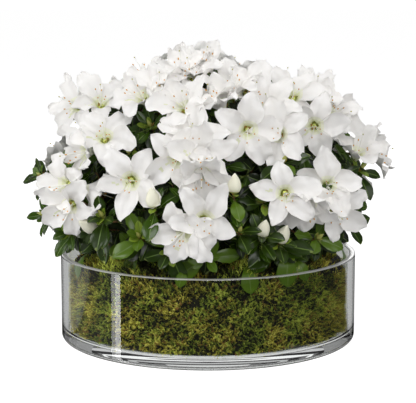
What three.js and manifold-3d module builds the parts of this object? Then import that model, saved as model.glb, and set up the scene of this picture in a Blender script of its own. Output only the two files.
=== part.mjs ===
// White azalea shrub in a low glass bowl packed with moss. Millimetres, +Z up, front towards -Y.
// The origin is the centre of the bowl's flat underside.
import * as THREE from 'three';
import { mergeVertices } from 'three/addons/utils/BufferGeometryUtils.js';
import Module from 'manifold-3d';

const wasm = await Module();
wasm.setup();

// ---- Driving dimensions ----------------------------------------------------------------------

const GAP = 0.3; // clearance between neighbouring solids
const SEED = 7;

const BOWL = { radius: 140, height: 82, wall: 5.5, base: 9.5, corner: 4, rim: 1.2, segments: 40 };
const MOSS = { radius: 127.5, crown: 91, edge: 77, shoulder: 9, seat: 13, lump: 2.4, segments: 30 };
const STEM = { foot: 8.5, girth: 5.6, top: 4.6, height: 24, flare: 8, sides: 8 };

// The crown's shell is where the blooms' bases sit. It is widest at `middle`, domed above it and
// drawn in below it, down to the rim of the bowl. The rear half is a little smaller.
const CROWN = { heart: 118, middle: 134, girth: 148, rise: 126, drop: 50, tuck: 0.19, rear: 0.94 };

// Three tiers of foliage masses: how many, how steeply they point up from the heart, the heading
// of the first one, and where the bough's tip and the mass's hub lie, measured from the heart.
const TIERS = [
  { count: 8, lift: 6, heading: 22.5, entry: 66, hub: 90 },
  { count: 6, lift: 38, heading: 30, entry: 68, hub: 90 },
  { count: 3, lift: 70, heading: 60, entry: 62, hub: 84 },
];
const OVERREACH = 22; // how far a leaf or petal may lean over the border of its own space

const BOUGH = { thick: 3.4, slim: 2.3, side: 2.9, sides: 6, steps: 4 };
// Twigs: radii at the stem, hub, fork and tip; the bare stalk under a bloom or whorl; and, along
// its parent, where each further twig starts.
const TWIG = {
  stem: 2.5, hub: 2.3, leader: 1.7, fork: 1.7, other: 1.1, tip: 1.1, stalk: 3, knee: 12,
  stemSides: 5, leaderSides: 4, sides: 3, perFork: 3, first: 0.15, next: 0.3, spacing: 0.35,
};

const LEAF = { length: 36, width: 14, thick: 1.4, fold: 1.2, sag: 3.5, foot: 2.4, bud: 7 };
// A petal's outline as [way along it, share of the way round to the next petal].
const PETAL = {
  length: 27, foot: 3.5, throat: 8,
  outline: [[0.26, 0], [0.68, 0.13], [1, 0.5], [0.68, 0.87]],
};
const BUD = { radius: 6.2, length: 22, below: 3, sides: 6 };
const WHORL = { leaves: 5, angle: 70 };

// Blooms of the front, by hand: x, height, heading and lift of the way they face, turn of the
// first petal, and how far the petals spread from the bloom's axis, in degrees. Heading 0 faces
// the front and 90 the right.
const BLOOMS = [
  // left shoulder
  [-120, 218, -40, 24, 150, 76], [-98, 222, 2, 50, 90, 66], [-91, 197, -4, 38, 90, 74],
  [-56, 230, -35, 48, 100, 66], [-43, 235, 15, 56, 120, 60],
  // top
  [-22, 250, -28, 62, 80, 58], [-13, 248, -8, 50, 105, 62], [-5, 253, 14, 62, 95, 62],
  [22, 236, -12, 60, 70, 60], [34, 237, 22, 24, 90, 70], [13, 226, -45, 52, 90, 40],
  // right shoulder
  [77, 231, -6, 34, 100, 66], [95, 227, 18, 56, 70, 60], [108, 213, 20, 46, 110, 64],
  [112, 211, 32, 20, 60, 74], [95, 208, 0, 5, 108, 76], [62, 204, -5, 15, 75, 74],
  [56, 223, -10, 36, 95, 62],
  // right side
  [137, 174, 12, 56, 90, 52], [147, 175, 72, 12, 60, 50],
  [66, 156, 0, 6, 62, 80], [104, 158, 8, 12, 56, 80], [110, 138, 12, -14, 82, 74],
  [88, 150, -8, -38, 90, 66],
  // middle
  [34, 209, 5, 3, 115, 80], [-19, 224, -12, 42, 90, 58], [-12, 203, 0, 30, 110, 70],
  [-25, 187, -3, 3, 104, 80], [-9, 188, 18, 6, 60, 66], [-6, 178, 8, -28, 100, 50],
  [-4, 136, 6, 4, 87, 72], [-18, 127, -22, -12, 140, 76],
  // left side
  [-104, 186, -60, 2, 150, 66], [-66, 167, -4, 0, 84, 76], [-124, 156, -46, 0, 140, 72],
  [-120, 140, -28, -16, 100, 76], [-110, 155, 100, -22, 90, 56],
];

// Leafy shoots of the front, by hand: x, height, lift of the shoot, and 1 for a white flower bud.
const SHOOTS = [
  [-158, 153, 30, 0], [-154, 116, 8, 0], [-126, 110, 20, 0], [-92, 133, 50, 0], [-59, 118, 40, 0],
  [-46, 146, 65, 1], [-18, 152, 70, 0], [22, 158, 75, 1], [27, 125, 45, 0], [46, 120, 55, 1],
  [62, 113, 50, 1], [65, 182, 50, 0], [96, 112, 30, 0], [141, 163, 45, 0], [130, 117, 15, 0],
  [-34, 106, 10, 0], [-2, 100, 5, 0], [72, 102, 5, 0],
];

// The rest follows rules: blooms spiral over the rear, leafy shoots over the whole shell, and a
// skirt of low shoots hangs inside the rim.
const SPRINKLE = {
  blooms: 90, bloomGap: 37, bloomFrom: 26,
  shoots: 230, shootGap: 30, shootToBloom: 19, shootInset: 0.92,
  skirt: 13, skirtRadius: 112, skirtHeight: 104,
};

// ---- Numbers and directions ------------------------------------------------------------------

const HEART = new THREE.Vector3(0, 0, CROWN.heart);
const UP = new THREE.Vector3(0, 0, 1);
const GOLDEN = Math.PI * (3 - Math.sqrt(5));
const radians = THREE.MathUtils.degToRad;

/** A repeatable draw between 0 and 1 for one thing (`key`) and one use of it (`channel`). */
function draw(key, channel) {
  let h = Math.imul(key + 1, 0x9e3779b1) ^ Math.imul(channel + 1, 0x85ebca6b) ^ Math.imul(SEED, 0xc2b2ae35);
  h = Math.imul(h ^ (h >>> 15), 0x2c1b3c6d);
  h = Math.imul(h ^ (h >>> 12), 0x297a2d39);
  return ((h ^ (h >>> 15)) >>> 0) / 4294967296;
}

const spread = (key, channel, low, high) => low + (high - low) * draw(key, channel);

/** The unit vector that points to a heading, lifted above the level, both in degrees. */
function pointing(heading, lift) {
  const h = radians(heading);
  const l = radians(lift);
  return new THREE.Vector3(Math.sin(h) * Math.cos(l), -Math.cos(h) * Math.cos(l), Math.sin(l));
}

/** The shell's radius at a height, for the front half. */
function shellRadius(height) {
  if (height >= CROWN.middle) {
    const t = Math.min(1, (height - CROWN.middle) / CROWN.rise);
    return CROWN.girth * Math.sqrt(1 - t * t);
  }
  const t = (CROWN.middle - height) / CROWN.drop;
  return CROWN.girth * (1 - CROWN.tuck * t * t);
}

/** The point of the front shell that has this x and height. */
function onFront(x, height) {
  const r = shellRadius(height);
  return new THREE.Vector3(x, -Math.sqrt(Math.max(0, r * r - x * x)), height);
}

/** Point number i of n, spiralling evenly down the shell from its top, scaled about its axis. */
function onSpiral(i, n, scale) {
  const t = (i + 0.5) / n;
  const height = CROWN.middle + CROWN.rise * (1 - 1.32 * t);
  const turn = i * GOLDEN;
  const size = scale * (Math.cos(turn) < 0 ? CROWN.rear : 1);
  const [r, above] = [shellRadius(height) * size, Math.max(0, height - CROWN.middle)];
  return new THREE.Vector3(r * Math.sin(turn), -r * Math.cos(turn), height - above * (1 - size));
}

/** A frame at `origin` whose Z is `axis`, turned by `turn` degrees about it. */
function frameAt(origin, axis, turn) {
  const side = Math.abs(axis.z) > 0.97 ? new THREE.Vector3(1, 0, 0) : UP.clone().cross(axis).normalize();
  const x = side.applyAxisAngle(axis, radians(turn));
  return new THREE.Matrix4().makeBasis(x, axis.clone().cross(x), axis).setPosition(origin);
}

// ---- Simple closed solids --------------------------------------------------------------------

function solid(points, faces) {
  const vertProperties = Float32Array.from(points.flatMap((p) => [p.x, p.y, p.z]));
  const mesh = new wasm.Mesh({ numProp: 3, vertProperties, triVerts: Uint32Array.from(faces.flat()) });
  return new wasm.Manifold(mesh);
}

/** A knife-edged blade: an outline, anticlockwise seen from `top`, and a point on each face. */
function blade(outline, top, bottom) {
  const n = outline.length;
  const faces = outline.flatMap((_, i) => {
    const j = (i + 1) % n;
    return [[i, j, n], [j, i, n + 1]];
  });
  return { points: [...outline, top, bottom], faces };
}

/** A tapered limb along `path`, with a radius for each of its points and flat ends. */
function limb(path, radii, sides) {
  const points = [];
  const faces = [];
  const last = path.length - 1;
  path.forEach((p, i) => {
    const along = path[Math.min(i + 1, last)].clone().sub(path[Math.max(i - 1, 0)]).normalize();
    const u = (Math.abs(along.z) > 0.95 ? new THREE.Vector3(1, 0, 0) : UP).clone().cross(along).normalize();
    const v = along.clone().cross(u);
    for (let k = 0; k < sides; k++) {
      const a = (2 * Math.PI * k) / sides;
      points.push(p.clone().addScaledVector(u, radii[i] * Math.cos(a)).addScaledVector(v, radii[i] * Math.sin(a)));
    }
  });
  for (let k = 0; k < sides; k++) {
    const next = (k + 1) % sides;
    for (let i = 0; i < last; i++) {
      const [a, b] = [i * sides + k, i * sides + next];
      faces.push([a, b, b + sides], [a, b + sides, a + sides]);
    }
    if (k > 0 && k < sides - 1) {
      faces.push([0, k + 1, k], [last * sides, last * sides + k, last * sides + k + 1]);
    }
  }
  return { points, faces };
}

/** A spindle along the frame's Z: a point below, a ring at its widest and a point above. */
function spindle(frame, { radius, length, below, sides }) {
  const ring = Array.from({ length: sides }, (_, k) => {
    const a = (2 * Math.PI * k) / sides;
    return new THREE.Vector3(radius * Math.cos(a), radius * Math.sin(a), length * 0.3 - below);
  });
  const body = blade(ring, new THREE.Vector3(0, 0, length - below), new THREE.Vector3(0, 0, -below));
  return moved(body, frame);
}

/**
 * Faces between a ring of points and an outline above it. Both are lists of { index, heading },
 * anticlockwise about the axis that they share, from heading 0.
 */
function band(ring, outline) {
  const at = (list, i) => list[i % list.length];
  const turns = (list, i) => at(list, i).heading + 2 * Math.PI * Math.floor(i / list.length);
  const faces = [];
  let [i, j] = [0, 0];
  while (i < ring.length || j < outline.length) {
    const outlineFirst = i >= ring.length || turns(outline, j + 1) <= turns(ring, i + 1);
    if (j < outline.length && outlineFirst) {
      faces.push([at(ring, i).index, at(outline, j + 1).index, at(outline, j).index]);
      j += 1;
    } else {
      faces.push([at(ring, i).index, at(ring, i + 1).index, at(outline, j).index]);
      i += 1;
    }
  }
  return faces;
}

/** A twig that opens at its tip into a star: an outline and a middle point, both in `frame`. */
function starredTwig({ path, radii, sides }, frame, outline, middle) {
  const stalk = limb(path, radii, sides);
  const first = stalk.points.length;
  const back = frame.clone().invert();
  const byHeading = (points, start) => points
    .map((p, i) => ({ index: start + i, heading: (Math.atan2(p.y, p.x) + 2 * Math.PI) % (2 * Math.PI) }))
    .sort((a, b) => a.heading - b.heading);
  const ring = byHeading(stalk.points.slice(-sides).map((p) => p.clone().applyMatrix4(back)), first - sides);
  const star = byHeading(outline, first);
  const fan = outline.map((_, i) => [first + i, first + ((i + 1) % outline.length), first + outline.length]);
  const endCap = stalk.faces.filter((face) => !face.every((i) => i >= first - sides));
  return {
    points: [...stalk.points, ...[...outline, middle].map((p) => p.clone().applyMatrix4(frame))],
    faces: [...endCap, ...band(ring, star), ...fan],
  };
}

const moved = (body, frame) => ({ ...body, points: body.points.map((p) => p.clone().applyMatrix4(frame)) });

// ---- Leaves and blooms -----------------------------------------------------------------------

/**
 * The outline of leaf number `k` of a whorl of `count`, from the notch before it round its tip: a
 * folded, sagging blade that leaves the whorl's axis at about `angle` degrees. A leaf left out
 * gives only its notch.
 */
function leafOutline(key, k, count, angle, kept) {
  const step = 360 / count;
  const heading = step * k + spread(key + k, 13, -0.14, 0.14) * step;
  const size = spread(key + k, 15, 0.8, 1.06);
  const [length, width] = [LEAF.length * size, LEAF.width * size];
  const turned = new THREE.Matrix4().makeRotationZ(radians(heading));
  const tilted = new THREE.Matrix4().makeRotationY(radians(angle + spread(key + k, 14, -13, 13) - 90));
  const blade = turned.multiply(tilted);
  const notch = new THREE.Vector3(LEAF.foot, 0, 0).applyAxisAngle(UP, radians(step * (k - 0.5)));
  const marks = [[0.58, -width / 2, LEAF.fold], [1, 0, -LEAF.sag], [0.58, width / 2, LEAF.fold]];
  return [notch, ...(kept ? marks.map(([t, y, z]) => new THREE.Vector3(length * t, y, z).applyMatrix4(blade)) : [])];
}

/** A whorl of leaves round a pointed bud, as the outline and middle of a star. */
const whorl = (key, angle, kept) => ({
  outline: kept.flatMap((keep, k) => leafOutline(key, k, kept.length, angle, keep)),
  middle: new THREE.Vector3(0, 0, LEAF.bud),
});

/** A leaf's outer part as a solid of its own, to test whether it has room. */
function leafProbe(frame, key, k, count, angle) {
  const marks = leafOutline(key, k, count, angle, true).slice(1);
  const inner = marks[0].clone().add(marks[2]).multiplyScalar(0.2);
  const middle = marks[0].clone().add(marks[2]).multiplyScalar(0.5);
  const [top, bottom] = [1, -1].map((side) => middle.clone().addScaledVector(UP, (side * LEAF.thick) / 2));
  return moved(blade([inner, ...marks], top, bottom), frame);
}

/**
 * The midrib of a petal at t from 0 to 1: radius from the bloom's axis and height above its base.
 * The petal leaves the tube at about half its flare and curls over to a little more than it.
 */
function midrib(t, flare) {
  const a = radians(flare);
  const [from, to] = [0.55 * a, (0.55 + 0.6 * t) * a];
  return [
    PETAL.foot + (PETAL.length * (Math.cos(from) - Math.cos(to))) / (0.6 * a),
    PETAL.throat + (PETAL.length * (Math.sin(to) - Math.sin(from))) / (0.6 * a),
  ];
}

/**
 * One petal's outline, from the notch before it round its tip, in a bloom that opens along the
 * frame's Z. A petal left out gives only its notch, a little further out.
 */
function petalOutline(number, flare, kept) {
  const marks = kept ? PETAL.outline : PETAL.outline.slice(0, 1);
  return marks.map(([t, turn]) => {
    const [r, h] = midrib(t, flare);
    const a = radians((number + turn) * 72);
    return new THREE.Vector3(r * Math.cos(a), r * Math.sin(a), h);
  });
}

/** A corolla of the petals that are kept, as the outline and throat of a star. */
const corolla = (flare, kept) => ({
  outline: kept.flatMap((keep, number) => petalOutline(number, flare, keep)),
  middle: new THREE.Vector3(0, 0, PETAL.throat),
});

/** A wedge that holds one petal, to test whether it has room. */
function petalProbe(frame, number, flare) {
  const outline = [new THREE.Vector3(0, 0, 0), ...petalOutline(number, flare, true).slice(1)];
  const [r, h] = midrib(0.6, flare);
  const a = radians((number + 0.5) * 72);
  const [x, y] = [r * Math.cos(a), r * Math.sin(a)];
  return moved(blade(outline, new THREE.Vector3(x, y, h + 0.2), new THREE.Vector3(x, y, h - 2)), frame);
}

// ---- Bowl, moss and stem ---------------------------------------------------------------------

/** A closed body of revolution from a profile that starts and ends on the axis. */
function turnedBody(profile, segments) {
  const geometry = new THREE.LatheGeometry(profile.map(([r, z]) => new THREE.Vector2(r, z)), segments);
  geometry.rotateX(Math.PI / 2);
  geometry.deleteAttribute('normal');
  geometry.deleteAttribute('uv');
  const merged = mergeVertices(geometry, 1e-4);
  const { position } = merged.attributes;
  const points = Array.from({ length: position.count }, (_, i) => new THREE.Vector3().fromBufferAttribute(position, i));
  const faces = [];
  for (let i = 0; i < merged.index.count; i += 3) {
    const [a, b, c] = merged.index.array.slice(i, i + 3);
    if (a !== b && b !== c && c !== a) faces.push([a, b, c]);
  }
  return { points, faces };
}

/** Points of a quarter round about (r, z), from one angle to another in degrees. */
function round(r, z, radius, from, to, steps) {
  return Array.from({ length: steps + 1 }, (_, i) => {
    const a = radians(from + ((to - from) * i) / steps);
    return [r + radius * Math.cos(a), z + radius * Math.sin(a)];
  });
}

function glassBowl() {
  const { radius, height, wall, base, corner, rim, segments } = BOWL;
  const inner = radius - wall;
  return turnedBody([
    [0, 0],
    ...round(radius - corner, corner, corner, -90, 0, 2),
    ...round(radius - rim, height - rim, rim, 0, 90, 1),
    ...round(inner + rim, height - rim, rim, 90, 180, 1),
    ...round(inner - corner, base + corner, corner, 0, -90, 2),
    [0, base],
  ], segments);
}

/** A lumpy cushion of moss with a level seat in the middle for the stem. */
function mossFill() {
  const { radius, crown, edge, shoulder, seat, lump, segments } = MOSS;
  const floor = BOWL.base + GAP;
  const dome = (r) => crown - (crown - edge) * ((r - seat) / (radius - seat)) ** 3;
  const rings = [0.3, 0.55, 0.8, 0.94].map((t) => [radius * t, dome(radius * t)]);
  const side = [0, 0.25, 0.5, 0.75, 1].map((t) => [radius, floor + (edge - shoulder - floor) * t]);
  const body = turnedBody(
    [[0, floor], [radius * 0.96, floor], ...side, ...rings.reverse(), [seat, crown], [0, crown]],
    segments,
  );
  body.points.forEach((p, i) => {
    const r = Math.hypot(p.x, p.y);
    if (r < seat + 1 || p.z < floor + 1) return;
    const swell = 1 + ((draw(i, 1) - 0.5) * 2 * lump) / radius;
    p.x *= swell;
    p.y *= swell;
    p.z += (draw(i, 2) - 0.5) * lump;
  });
  return body;
}

/** A short stem with a flared foot, from the moss's seat up to the fork of the boughs. */
function mainStem() {
  const foot = MOSS.crown + GAP;
  const levels = [[0, STEM.foot], [STEM.flare * 0.4, STEM.girth + 1], [STEM.flare, STEM.girth], [STEM.height, STEM.top]];
  const path = levels.map(([z]) => new THREE.Vector3(0, 0, foot + z));
  return { ...limb(path, levels.map(([, r]) => r), STEM.sides), top: path.at(-1) };
}

// ---- Boughs ----------------------------------------------------------------------------------

/** Points of a limb that leaves `start` along `launch` and bends to `end`. */
function bendPath(start, launch, end, steps) {
  const middle = start.clone().addScaledVector(launch, start.distanceTo(end) * 0.45);
  const curve = new THREE.QuadraticBezierCurve3(start, middle, end);
  return curve.getPoints(steps);
}

/**
 * A tapering bough that grows from `root` on its parent's axis along `launch` and bends to `end`.
 * It starts as close to its parent as GAP allows.
 */
function bough(parent, root, launch, end, thick) {
  const radii = Array.from({ length: BOUGH.steps + 1 }, (_, i) => thick + ((BOUGH.slim - thick) * i) / BOUGH.steps);
  for (let away = 4; ; away += 0.1) {
    const start = root.clone().addScaledVector(launch, away);
    const path = bendPath(start, launch, end, BOUGH.steps);
    const body = limb(path, radii, BOUGH.sides);
    const made = solid(body.points, body.faces);
    if (made.minGap(parent, 2 * GAP) >= GAP) return { solid: made, path };
  }
}

/** The masses, each with the direction of its space and the tip of its bough. */
function plannedMasses() {
  return TIERS.flatMap((tier, level) => Array.from({ length: tier.count }, (_, k) => {
    const heading = tier.heading + (360 / tier.count) * k;
    const way = pointing(heading, tier.lift);
    const tip = HEART.clone().addScaledVector(way, tier.entry);
    return { level, heading, way, tip, hub: HEART.clone().addScaledVector(way, tier.hub) };
  }));
}

const headingGap = (a, b) => Math.abs(((a - b + 540) % 360) - 180);

/** Six boughs from the stem to the middle tier, a leader to the top, and side boughs off these. */
function growBoughs(masses, stem, stemTop) {
  const [low, mid, high] = [0, 1, 2].map((level) => masses.filter((m) => m.level === level));
  const collar = stemTop.clone().addScaledVector(UP, -6);
  for (const mass of mid) {
    mass.bough = bough(stem, collar, pointing(mass.heading, 30), mass.tip, BOUGH.thick);
  }
  const leader = high[0];
  leader.bough = bough(stem, stemTop, pointing(leader.heading, 84), leader.tip, BOUGH.thick);
  for (const mass of low) {
    const parent = mid.reduce((a, b) => (headingGap(a.heading, mass.heading) <= headingGap(b.heading, mass.heading) ? a : b));
    const root = parent.bough.path[1];
    const launch = mass.tip.clone().sub(root).normalize();
    mass.bough = bough(parent.bough.solid, root, launch, mass.tip, BOUGH.side);
  }
  high.slice(1).forEach((mass, k) => {
    const root = leader.bough.path[1 + k];
    const launch = mass.tip.clone().sub(root).normalize();
    mass.bough = bough(leader.bough.solid, root, launch, mass.tip, BOUGH.side);
  });
}

// ---- Where blooms and shoots stand -----------------------------------------------------------

function plantedBlooms() {
  const blooms = BLOOMS.map(([x, height, heading, lift, turn, flare]) => (
    { at: onFront(x, height), axis: pointing(heading, lift), turn, flare }));
  for (let i = 0; i < SPRINKLE.blooms; i++) {
    const at = onSpiral(i, SPRINKLE.blooms, 1);
    if (at.y < SPRINKLE.bloomFrom || blooms.some((b) => b.at.distanceTo(at) < SPRINKLE.bloomGap)) continue;
    const out = at.clone().sub(HEART).setZ(0).normalize();
    const lift = spread(i, 3, 5, 40) + ((at.z - CROWN.middle) / CROWN.rise) * 40;
    const heading = THREE.MathUtils.radToDeg(Math.atan2(out.x, -out.y)) + spread(i, 4, -25, 25);
    blooms.push({ at, axis: pointing(heading, lift), turn: spread(i, 5, 0, 72), flare: spread(i, 6, 58, 80) });
  }
  return blooms;
}

function plantedShoots(blooms) {
  const shoots = SHOOTS.map(([x, height, lift, bud], i) => {
    const at = onFront(x, height);
    const heading = THREE.MathUtils.radToDeg(Math.atan2(at.x, -at.y));
    return { at, axis: pointing(heading, lift), bud, key: 500 + i };
  });
  for (let i = 0; i < SPRINKLE.skirt; i++) {
    const heading = ((i + 0.5) * 360) / SPRINKLE.skirt + spread(i, 7, -6, 6);
    const at = pointing(heading, 0).multiplyScalar(SPRINKLE.skirtRadius).setZ(SPRINKLE.skirtHeight + spread(i, 8, -3, 5));
    shoots.push({ at, axis: pointing(heading, 12), bud: 0, key: 600 + i });
  }
  for (let i = 0; i < SPRINKLE.shoots; i++) {
    const at = onSpiral(i, SPRINKLE.shoots, SPRINKLE.shootInset);
    const clear = shoots.every((s) => s.at.distanceTo(at) > SPRINKLE.shootGap)
      && blooms.every((b) => b.at.distanceTo(at) > SPRINKLE.shootToBloom);
    if (!clear) continue;
    const heading = THREE.MathUtils.radToDeg(Math.atan2(at.x, -at.y));
    const lift = spread(i, 9, 20, 50) + ((at.z - CROWN.middle) / CROWN.rise) * 30;
    shoots.push({ at, axis: pointing(heading, lift), bud: draw(i, 10) < 0.12 ? 1 : 0, key: 700 + i });
  }
  return shoots;
}

// ---- Growing the masses ----------------------------------------------------------------------

const borders = (mass, masses) => masses.filter((other) => other !== mass)
  .map((other) => mass.way.clone().sub(other.way).normalize());

/** The solids placed so far, which an element of another mass keeps clear of. */
class Clearance {
  constructor(limbs) {
    this.placed = limbs.map((made) => ({ owner: null, made, box: made.boundingBox() }));
  }

  fits(made, owner) {
    const { min, max } = made.boundingBox();
    return this.placed.every((other) => (owner && other.owner === owner)
      || [0, 1, 2].some((k) => other.box.min[k] > max[k] + GAP || other.box.max[k] < min[k] - GAP)
      || other.made.minGap(made, 2 * GAP) >= GAP);
  }

  /**
   * Whether `body` keeps to the mass's space, hangs over the rim nowhere, and is clear of the
   * other masses, or of everything if `alone`.
   */
  hasRoom(body, mass, alone = false) {
    const leans = mass.borders.some((normal) => body.points.some((p) => p.clone().sub(HEART).dot(normal) < -OVERREACH));
    const spills = body.points.some((p) => p.z < BOWL.height && Math.hypot(p.x, p.y) > BOWL.radius - BOWL.wall - 1);
    return !leans && !spills && this.fits(solid(body.points, body.faces), alone ? null : mass);
  }

  /** Keeps a place for `body` in `mass` if it has room. */
  claim(body, mass) {
    if (!this.hasRoom(body, mass)) return false;
    const made = solid(body.points, body.faces);
    this.placed.push({ owner: mass, made, box: made.boundingBox() });
    return true;
  }
}

/** The mass whose direction is nearest to that of a point. */
function ownerOf(point, masses) {
  const way = point.clone().sub(HEART).normalize();
  return masses.reduce((a, b) => (a.way.dot(way) >= b.way.dot(way) ? a : b));
}

/** The way of a mass's stem, from 0.3 mm off its bough's tip to its hub. */
function stemRoute(mass) {
  const path = mass.bough.path;
  const along = path.at(-1).clone().sub(path.at(-2)).normalize();
  const start = path.at(-1).clone().addScaledVector(along, GAP + 0.01);
  return [start, start.clone().addScaledVector(along, 7), mass.hub];
}

/** Groups of neighbouring tips, in order of their bearing about the mass's own direction. */
function forkGroups(mass, tips) {
  const frame = frameAt(mass.hub, mass.way, 0).invert();
  const bearing = (tip) => {
    const p = tip.at.clone().applyMatrix4(frame);
    return Math.atan2(p.y, p.x);
  };
  const ordered = [...tips].sort((a, b) => bearing(a) - bearing(b));
  const count = Math.ceil(ordered.length / TWIG.perFork);
  return Array.from({ length: count }, (_, k) => (
    ordered.slice(Math.round((k * ordered.length) / count), Math.round(((k + 1) * ordered.length) / count))));
}

/** The twig from the points of `way` to a tip, with a straight stalk under its bloom or whorl. */
function twigTo(tip, way, radii, sides) {
  const [knee, foot] = [TWIG.knee, TWIG.stalk].map((below) => tip.at.clone().addScaledVector(tip.axis, -below));
  return { path: [...way, knee, foot], radii: [...radii, TWIG.tip, TWIG.tip], sides };
}

/**
 * Gives each tip of a mass its twig. The mass's stem runs on to the first tip; each other group's
 * leader leaves the stem short of the hub, and the rest leave their leader one after another.
 * Tips whose twig is blocked are left out.
 */
function growTwigs(mass, tips, clearance) {
  const route = stemRoute(mass);
  const stemRadii = [BOUGH.slim, TWIG.stem, TWIG.hub];
  return forkGroups(mass, tips).flatMap((group, k) => {
    const [leader, ...others] = group;
    const centre = group.reduce((sum, tip) => sum.add(tip.at), new THREE.Vector3()).divideScalar(group.length);
    const fork = mass.hub.clone().lerp(centre, spread(mass.number * 10 + k, 11, 0.4, 0.55));
    const root = k === 0 ? mass.hub : mass.hub.clone().lerp(route[1], TWIG.first + TWIG.next * (k - 1));
    leader.twig = k === 0
      ? twigTo(leader, [...route, fork], [...stemRadii, TWIG.fork], TWIG.stemSides)
      : twigTo(leader, [root, fork], [TWIG.leader, TWIG.fork], TWIG.leaderSides);
    others.forEach((tip, j) => {
      tip.twig = twigTo(tip, [fork.clone().lerp(root, 0.08 + TWIG.spacing * j)], [TWIG.other], TWIG.sides);
    });
    const claimed = ({ twig }) => clearance.claim(limb(twig.path, twig.radii, twig.sides), mass);
    return claimed(leader) ? [leader, ...others.filter(claimed)] : [];
  });
}

/** Opens a bloom, without the petals that would leave the mass's space or touch another mass. */
function openBloom(tip, mass, clearance) {
  const frame = frameAt(tip.at, tip.axis, tip.turn);
  const kept = [0, 1, 2, 3, 4].map((k) => clearance.hasRoom(petalProbe(frame, k, tip.flare), mass));
  claimStar(tip, frame, corolla(tip.flare, kept), mass, clearance);
}

/** Opens a whorl, without the leaves that would leave the mass's space or touch anything. */
function openWhorl(tip, mass, clearance) {
  const { leaves, angle } = WHORL;
  const frame = frameAt(tip.at, tip.axis, spread(tip.key, 12, 0, 360));
  const key = tip.key * 16;
  const kept = Array.from({ length: leaves }, (_, k) => (
    clearance.hasRoom(leafProbe(frame, key, k, leaves, angle), mass, true)));
  claimStar(tip, frame, whorl(key, angle, kept), mass, clearance);
}

function claimStar(tip, frame, star, mass, clearance) {
  const foot = new THREE.Vector3(0, 0, -TWIG.stalk);
  if (clearance.claim(moved(blade(star.outline, star.middle, foot), frame), mass)) tip.star = { frame, ...star };
}

/** The solids of a tip: its twig, its bloom or whorl, and its flower bud. */
function tipSolids({ twig, star, bud }) {
  const bare = limb(twig.path, twig.radii, twig.sides);
  if (!star) return [solid(bare.points, bare.faces)];
  const { frame, outline, middle } = star;
  const whole = starredTwig(twig, frame, outline, middle);
  const buds = bud ? [spindle(frame, BUD)] : [];
  return [whole, ...buds].map((body) => solid(body.points, body.faces));
}

/** One closed body from a mass's parts: sealed hollows are filled and loose scraps dropped. */
function fused(parts) {
  const shells = wasm.Manifold.union(parts).simplify(0.02).decompose();
  return shells.reduce((a, b) => (a.volume() >= b.volume() ? a : b));
}

// ---- Assembly --------------------------------------------------------------------------------

const finishes = {
  glass: new THREE.MeshStandardMaterial({ color: 0xe6edee, roughness: 0.05, metalness: 0, transparent: true, opacity: 0.35 }),
  moss: new THREE.MeshStandardMaterial({ color: 0x5c6420, roughness: 1, metalness: 0 }),
  bark: new THREE.MeshStandardMaterial({ color: 0x5b4030, roughness: 0.85, metalness: 0 }),
  foliage: new THREE.MeshStandardMaterial({ color: 0x3c5a2c, roughness: 0.45, metalness: 0 }),
};

/** A named mesh whose geometry is measured from `foot`, where it is placed. */
function node(name, made, finish, foot) {
  const { vertProperties, triVerts } = made.getMesh();
  const geometry = new THREE.BufferGeometry();
  geometry.setAttribute('position', new THREE.BufferAttribute(Float32Array.from(vertProperties), 3));
  geometry.setIndex(new THREE.BufferAttribute(Uint32Array.from(triVerts), 1));
  geometry.translate(-foot.x, -foot.y, -foot.z);
  geometry.computeVertexNormals();
  const mesh = new THREE.Mesh(geometry, finish);
  mesh.name = name;
  mesh.position.copy(foot);
  return mesh;
}

const numbered = (name, i) => `${name}_${String(i + 1).padStart(2, '0')}`;

function azalea() {
  const origin = new THREE.Vector3();
  const bowl = glassBowl();
  const moss = mossFill();
  const stem = mainStem();
  const [bowlSolid, mossSolid, stemSolid] = [bowl, moss, stem].map((body) => solid(body.points, body.faces));

  const masses = plannedMasses();
  growBoughs(masses, stemSolid, stem.top);
  const clearance = new Clearance([bowlSolid, mossSolid, stemSolid, ...masses.map((mass) => mass.bough.solid)]);
  masses.forEach((mass, i) => Object.assign(mass, { number: i, borders: borders(mass, masses) }));

  const blooms = plantedBlooms().map((bloom, i) => ({ ...bloom, key: i }));
  const shoots = plantedShoots(blooms);
  const grown = masses.map((mass) => (
    growTwigs(mass, [...blooms, ...shoots].filter((tip) => ownerOf(tip.at, masses) === mass), clearance)));
  masses.forEach((mass, i) => grown[i].filter((tip) => tip.flare).forEach((tip) => openBloom(tip, mass, clearance)));
  masses.forEach((mass, i) => grown[i].filter((tip) => !tip.flare).forEach((tip) => openWhorl(tip, mass, clearance)));

  const plant = new THREE.Group();
  plant.add(node('main_stem', stemSolid, finishes.bark, new THREE.Vector3(0, 0, MOSS.crown + GAP)));
  masses.forEach((mass, i) => {
    plant.add(node(numbered('bough', i), mass.bough.solid, finishes.bark, mass.bough.path[0]));
    plant.add(node(numbered('foliage', i), fused(grown[i].flatMap(tipSolids)), finishes.foliage, mass.tip));
  });
  const whole = new THREE.Group();
  whole.add(node('glass_bowl', bowlSolid, finishes.glass, origin), node('moss_fill', mossSolid, finishes.moss, origin), plant);
  return whole;
}

const group = azalea();

export default group;
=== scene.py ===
"""White azalea shrub in a low round glass bowl packed with moss.

The shrub grows by the rule of its solid model: a short stem, boughs to seventeen masses of
foliage, and in each mass twigs to open blooms and leafy shoots. Here the rule goes on to finer
twigs, leaves, petals and stamens. Lengths are millimetres until a mesh is made. A heading of 0
faces the front, which is -Y, and 90 faces +X.
"""

from __future__ import annotations

import logging
import math
from dataclasses import dataclass, field, replace
from enum import Enum

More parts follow.
